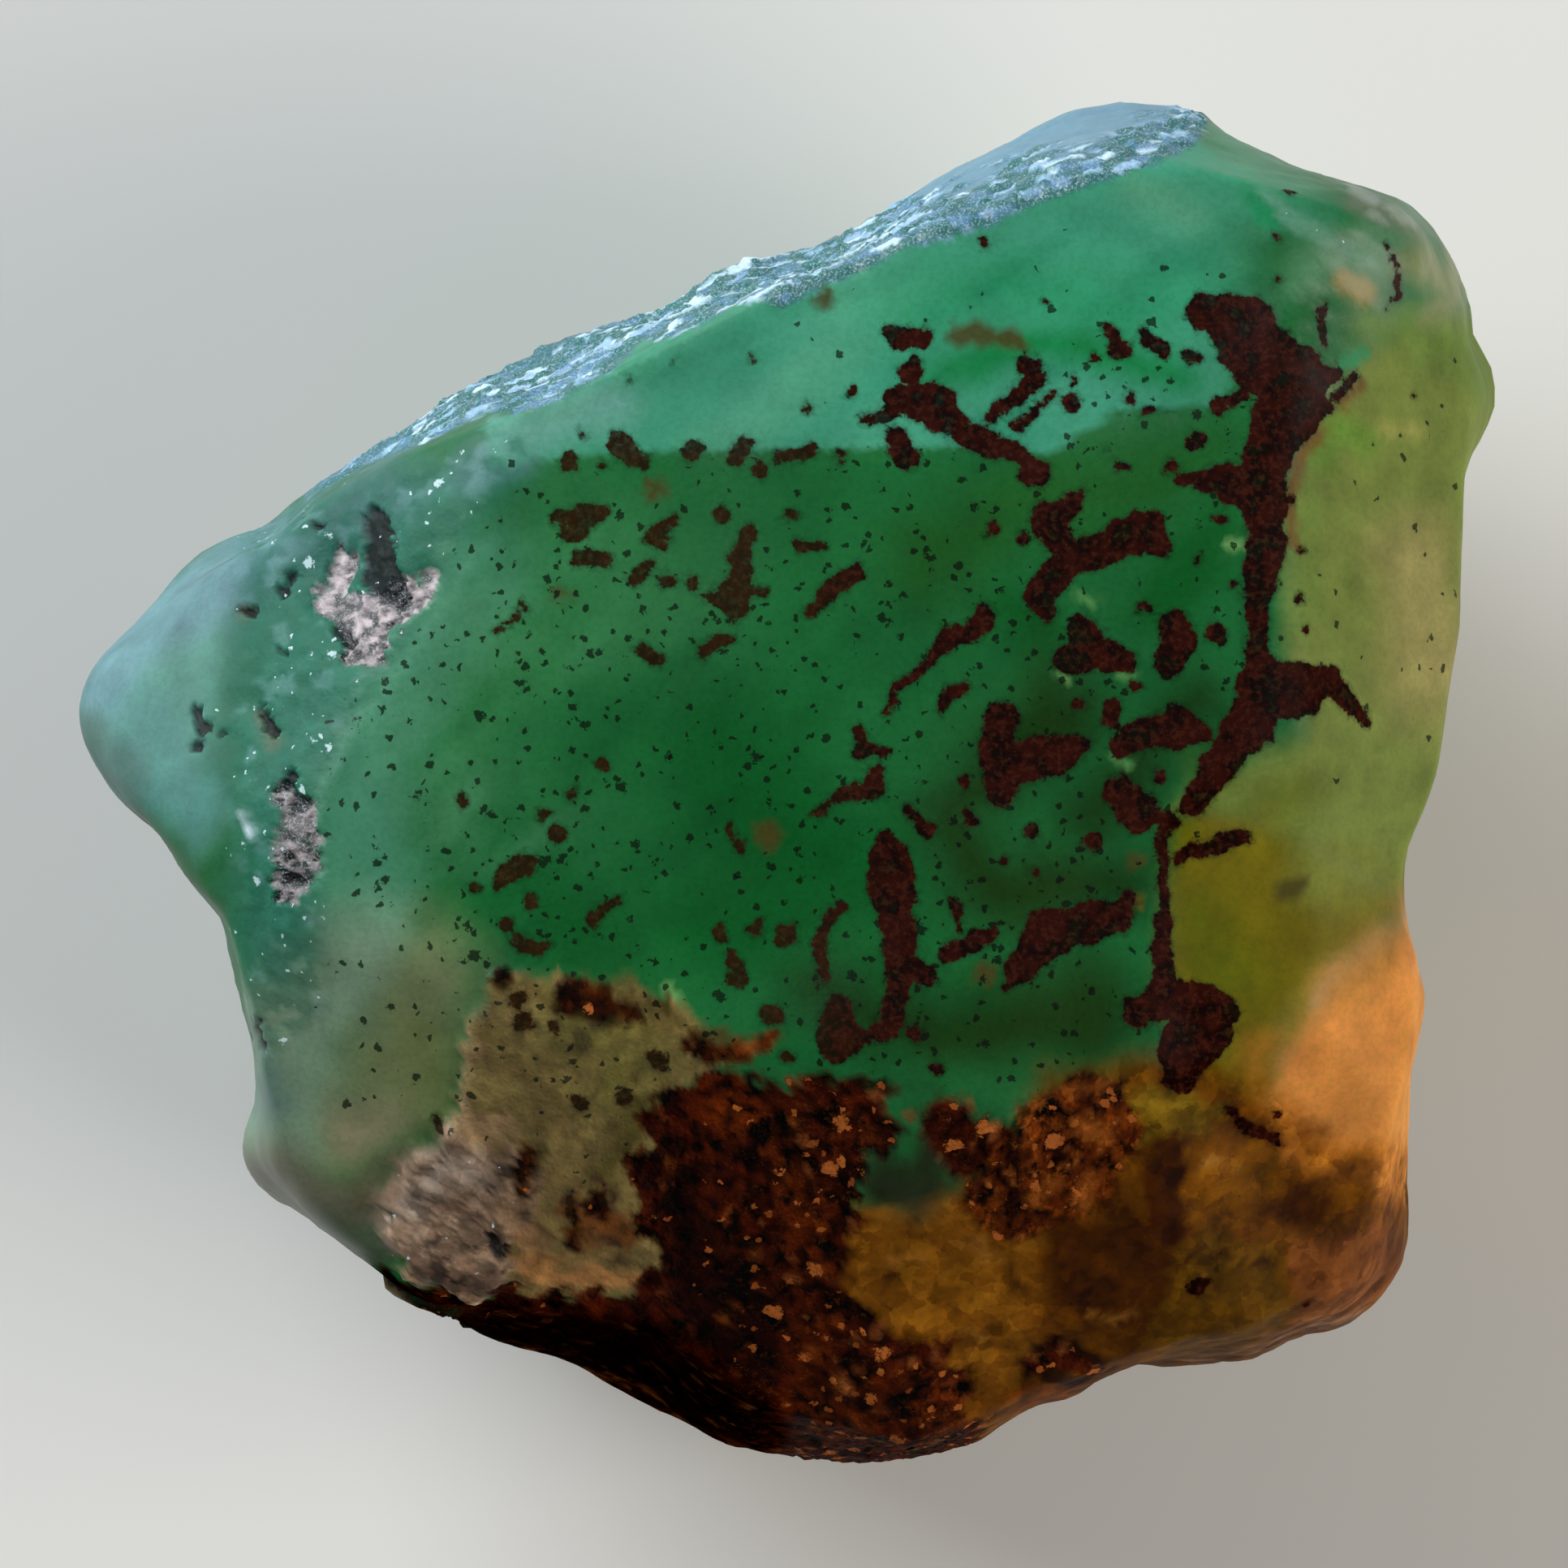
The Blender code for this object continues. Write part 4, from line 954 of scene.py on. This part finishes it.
def surface_object(points, faces, colour, marks):
    mesh = bpy.data.meshes.new("emerald_surface")
    mesh.vertices.add(len(points))
    mesh.vertices.foreach_set("co", (points * MM).astype(np.float32).ravel())
    mesh.loops.add(faces.size)
    mesh.loops.foreach_set("vertex_index", faces.astype(np.int32).ravel())
    mesh.polygons.add(len(faces))
    mesh.polygons.foreach_set("loop_start", np.arange(0, faces.size, 3, dtype=np.int32))
    mesh.update(calc_edges=True)
    mesh.validate()
    mesh.shade_smooth()
    for name, values in marks.items():
        mark = mesh.attributes.new(name, "FLOAT", "POINT")
        mark.data.foreach_set("value", values.astype(np.float32))
    body = mesh.attributes.new("body", "FLOAT_COLOR", "POINT")
    opaque = np.hstack([np.clip(colour, 0, 1), np.ones((len(colour), 1))])
    body.data.foreach_set("color", opaque.ravel())
    return add_object("emerald_surface", mesh)


# ---- the material


class Nodes:
    """Short calls that make a material's nodes. A value is a number or another node's output."""

    def __init__(self, material):
        material.use_nodes = True
        self.links = material.node_tree.links
        self.new = material.node_tree.nodes.new
        self.shader = material.node_tree.nodes["Principled BSDF"]

    def put(self, value, socket):
        if isinstance(value, bpy.types.NodeSocket):
            self.links.new(value, socket)
        else:
            socket.default_value = value

    def make(self, kind, **values):
        node = self.new(kind)
        for name, value in values.items():
            self.put(value, node.inputs[name])
        return node

    def math(self, operation, *values, kind="ShaderNodeMath"):
        node = self.new(kind)
        node.operation = operation
        for value, socket in zip(values, node.inputs):
            self.put(value, socket)
        return node.outputs[0]

    def add(self, *values):
        total = values[0]
        for value in values[1:]:
            total = self.math("ADD", total, value)
        return total

    def times(self, *values):
        total = values[0]
        for value in values[1:]:
            total = self.math("MULTIPLY", total, value)
        return total

    def mark(self, name, output="Fac"):
        node = self.new("ShaderNodeAttribute")
        node.attribute_name = name
        return node.outputs[output]

    def range(self, value, low, high, to_low=0.0, to_high=1.0):
        """The value's place between low and high, smoothed, as to_low to to_high."""
        node = self.new("ShaderNodeMapRange")
        node.interpolation_type = "SMOOTHSTEP"
        for entry, socket in zip((value, low, high, to_low, to_high), node.inputs):
            self.put(entry, socket)
        return node.outputs["Result"]

    def mix(self, share, a, b, blend="MIX"):
        node = self.new("ShaderNodeMix")
        node.data_type = "RGBA"
        node.blend_type = blend
        for value, socket in zip((share, a, b), (0, 6, 7)):
            self.put(value, node.inputs[socket])
        return node.outputs[2]

    def darker(self, share, colour, tint):
        return self.mix(share, colour, self.mix(1.0, colour, tint, "MULTIPLY"))

    def noise(self, where, scale, detail, roughness, output="Fac"):
        node = self.make("ShaderNodeTexNoise", Vector=where, Scale=scale, Detail=detail,
                         Roughness=roughness)
        return node.outputs[output]

    def wobble(self, source, amount):
        return self.times(self.add(source, -0.5), amount)


def emerald_material():
    material = bpy.data.materials.new("emerald_mineral")
    n = Nodes(material)
    place = n.new("ShaderNodeTexCoord").outputs["Object"]
    where = n.make("ShaderNodeMapping", Vector=place, Scale=(1000, 1000, 1000))  # millimetres
    where = where.outputs["Vector"]
    mottle = n.noise(where, 2.0, 1, 0.6)
    grain = n.noise(where, 6.5, 2, 0.65)
    fine = n.noise(where, 17.0, 1, 0.6)

    colour = n.mix(n.range(grain, 0.36, 0.60), paint(236, 245, 239), paint(255, 255, 255))
    colour = n.mix(1.0, n.mark("body", "Color"), colour, "MULTIPLY")
    # painted glints: pale flecks on the glittering strip and the mica
    glint = n.times(n.mark("glitter"), n.range(fine, 0.54, 0.66), 0.8)
    colour = n.mix(glint, colour, paint(206, 224, 236))
    grainy = n.range(n.add(n.times(grain, 0.6), n.times(fine, 0.4)), 0.52, 0.60)
    rust_colour = n.mix(n.range(mottle, 0.4, 0.6), paint(84, 36, 12), paint(138, 84, 36))
    colour = n.mix(n.times(n.mark("rust"), grainy, 0.75), colour, rust_colour)
    colour = with_specks(n, colour, where, mottle, fine)
    colour, dark = with_inclusions(n, colour, mottle, grain, fine)

    # gloss, and relief too small for the mesh
    rough = n.add(n.mark("roughness"), n.wobble(grain, 0.14), n.times(dark, 0.15))
    grit = n.times(n.mark("grit"), n.noise(where, 11.0, 0, 0.6))
    bump = n.make("ShaderNodeBump", Strength=0.6, Distance=0.00010, Height=grit)
    clean = n.math("SUBTRACT", 1.0, dark)
    for name, value in {
        "Base Color": colour,
        "Roughness": rough,
        "Normal": bump.outputs["Normal"],
        "IOR": 1.57,
        "Specular IOR Level": n.times(n.mark("gloss"), n.range(clean, 0.0, 1.0, 0.3, 1.0)),
        "Subsurface Weight": n.times(n.mark("cloudy"), clean, 0.3),
        "Subsurface Radius": (0.45, 1.0, 0.6),
        "Subsurface Scale": 0.0009,
    }.items():
        n.put(value, n.shader.inputs[name])
    return material


def with_specks(n, colour, where, mottle, fine):
    """The colour with dark specks and bright sparks in scattered cells of two sizes, and with
    the cells of stony areas in tones of their own."""
    clustered = n.times(n.mark("specky"), n.range(mottle, 0.38, 0.62, 0.3, 1.5))
    bent = n.noise(where, 4.5, 1.0, 0.7, "Color")
    amount = (0.24, 0.24, 0.24)
    bent = n.math("MULTIPLY_ADD", bent, amount, where, kind="ShaderNodeVectorMath")
    for size, radius, softness in ((0.34, 0.30, 0.06), (0.80, 0.16, 0.03)):
        cells = n.make("ShaderNodeTexVoronoi", Vector=bent, Scale=1 / size)
        chance = n.make("ShaderNodeSeparateColor", Color=cells.outputs["Color"]).outputs
        near = n.add(cells.outputs["Distance"], n.wobble(fine, 0.25))
        reach = n.add(near, n.times(chance[1], 0.7 * radius))
        shown = n.math("LESS_THAN", chance[0], clustered)
        speck = n.times(n.range(reach, radius + 0.05, radius + 0.05 - softness), shown, 0.93)
        colour = n.darker(speck, colour, paint(74, 92, 72))
        colour = n.darker(n.times(n.mark("stony"), chance[1]), colour, paint(156, 136, 118))
        # painted glints: pale sparks, orange over rust
        lit = n.math("LESS_THAN", chance[2], n.mark("sparks"))
        rusty = n.range(n.mark("rust"), 0.0, 0.04)
        spark = n.add(near, n.times(chance[1], 0.08), n.times(rusty, -0.16))
        spark = n.times(n.range(spark, 0.20, 0.12), lit, 0.8)
        colour = n.mix(spark, colour, n.mix(rusty, paint(196, 220, 226), paint(164, 92, 44)))
    return colour


def with_inclusions(n, colour, mottle, grain, fine):
    """The colour with the dark inclusions, each with a dim halo where it runs under the
    surface, and how much of it is inclusion."""
    reach = n.add(n.mark("patch"), n.wobble(grain, 0.16), n.wobble(fine, 0.08))
    halo = n.times(n.range(reach, 0.14, -0.02), 0.5)
    colour = n.darker(halo, colour, paint(110, 118, 96))
    shallow = n.mark("shallow")
    dark = n.times(n.range(reach, 0.035, -0.035), n.range(mottle, 0.30, 0.42, 0.94, 1.0))
    dark = n.times(dark, n.range(n.times(shallow, grain), 0.2, 0.6, 1.0, 0.7))
    tint = n.mix(n.range(mottle, 0.38, 0.62), paint(18, 6, 5), paint(41, 15, 9))
    tint = n.mix(n.times(n.range(grain, 0.45, 0.68), 0.35), tint, paint(74, 38, 25))
    tint = n.mix(n.times(shallow, 0.75), tint, paint(40, 34, 14))
    return n.mix(dark, colour, tint), dark


# ---- floor, light and camera


def add_floor():
    mesh = bpy.data.meshes.new("floor")
    corners = [(x * FLOOR_HALF, y * FLOOR_HALF, 0) for x, y in ((-1, -1), (1, -1), (1, 1), (-1, 1))]
    mesh.from_pydata(corners, [], [(0, 1, 2, 3)])
    material = bpy.data.materials.new("floor")
    material.use_nodes = True
    shader = material.node_tree.nodes["Principled BSDF"]
    shader.inputs["Base Color"].default_value = FLOOR
    shader.inputs["Roughness"].default_value = FLOOR_ROUGHNESS
    mesh.materials.append(material)
    floor = add_object("floor", mesh)


def add_light(name, place, size, power, colour):
    """A soft square light aimed at the stone. The place and size are in mm."""
    light = bpy.data.lights.new(name, "AREA")
    light.size = size * MM
    light.energy = power
    light.color = colour
    lamp = add_object(name, light)
    lamp.location = Vector(place) * MM
    aim = Vector((0, 0, LIGHTS_AIM_Z * MM)) - lamp.location
    lamp.rotation_euler = aim.to_track_quat("-Z", "Y").to_euler()


def add_world():
    world = bpy.data.worlds.new("studio")
    world.use_nodes = True
    background = world.node_tree.nodes["Background"]
    background.inputs["Color"].default_value = SKY
    background.inputs["Strength"].default_value = SKY_STRENGTH
    bpy.context.scene.world = world


def add_camera():
    camera = bpy.data.cameras.new("camera")
    camera.sensor_width = 36.0
    camera.lens = camera.sensor_width * CAMERA_RISE / (FRAME_PX * MM_PER_PX)
    camera.clip_start = 0.005
    eye = add_object("camera", camera)
    eye.location = Vector((CAMERA_X, CAMERA_Y, GIRDLE_Z + CAMERA_RISE)) * MM
    bpy.context.scene.camera = eye


surface = surface_object(*build_surface())
surface.data.materials.append(emerald_material())
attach(surface, "root")
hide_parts("emerald_crystal")

add_floor()
for light in LIGHTS:
    add_light(*light)
add_world()
add_camera()
bpy.context.scene.view_settings.view_transform = "Standard"
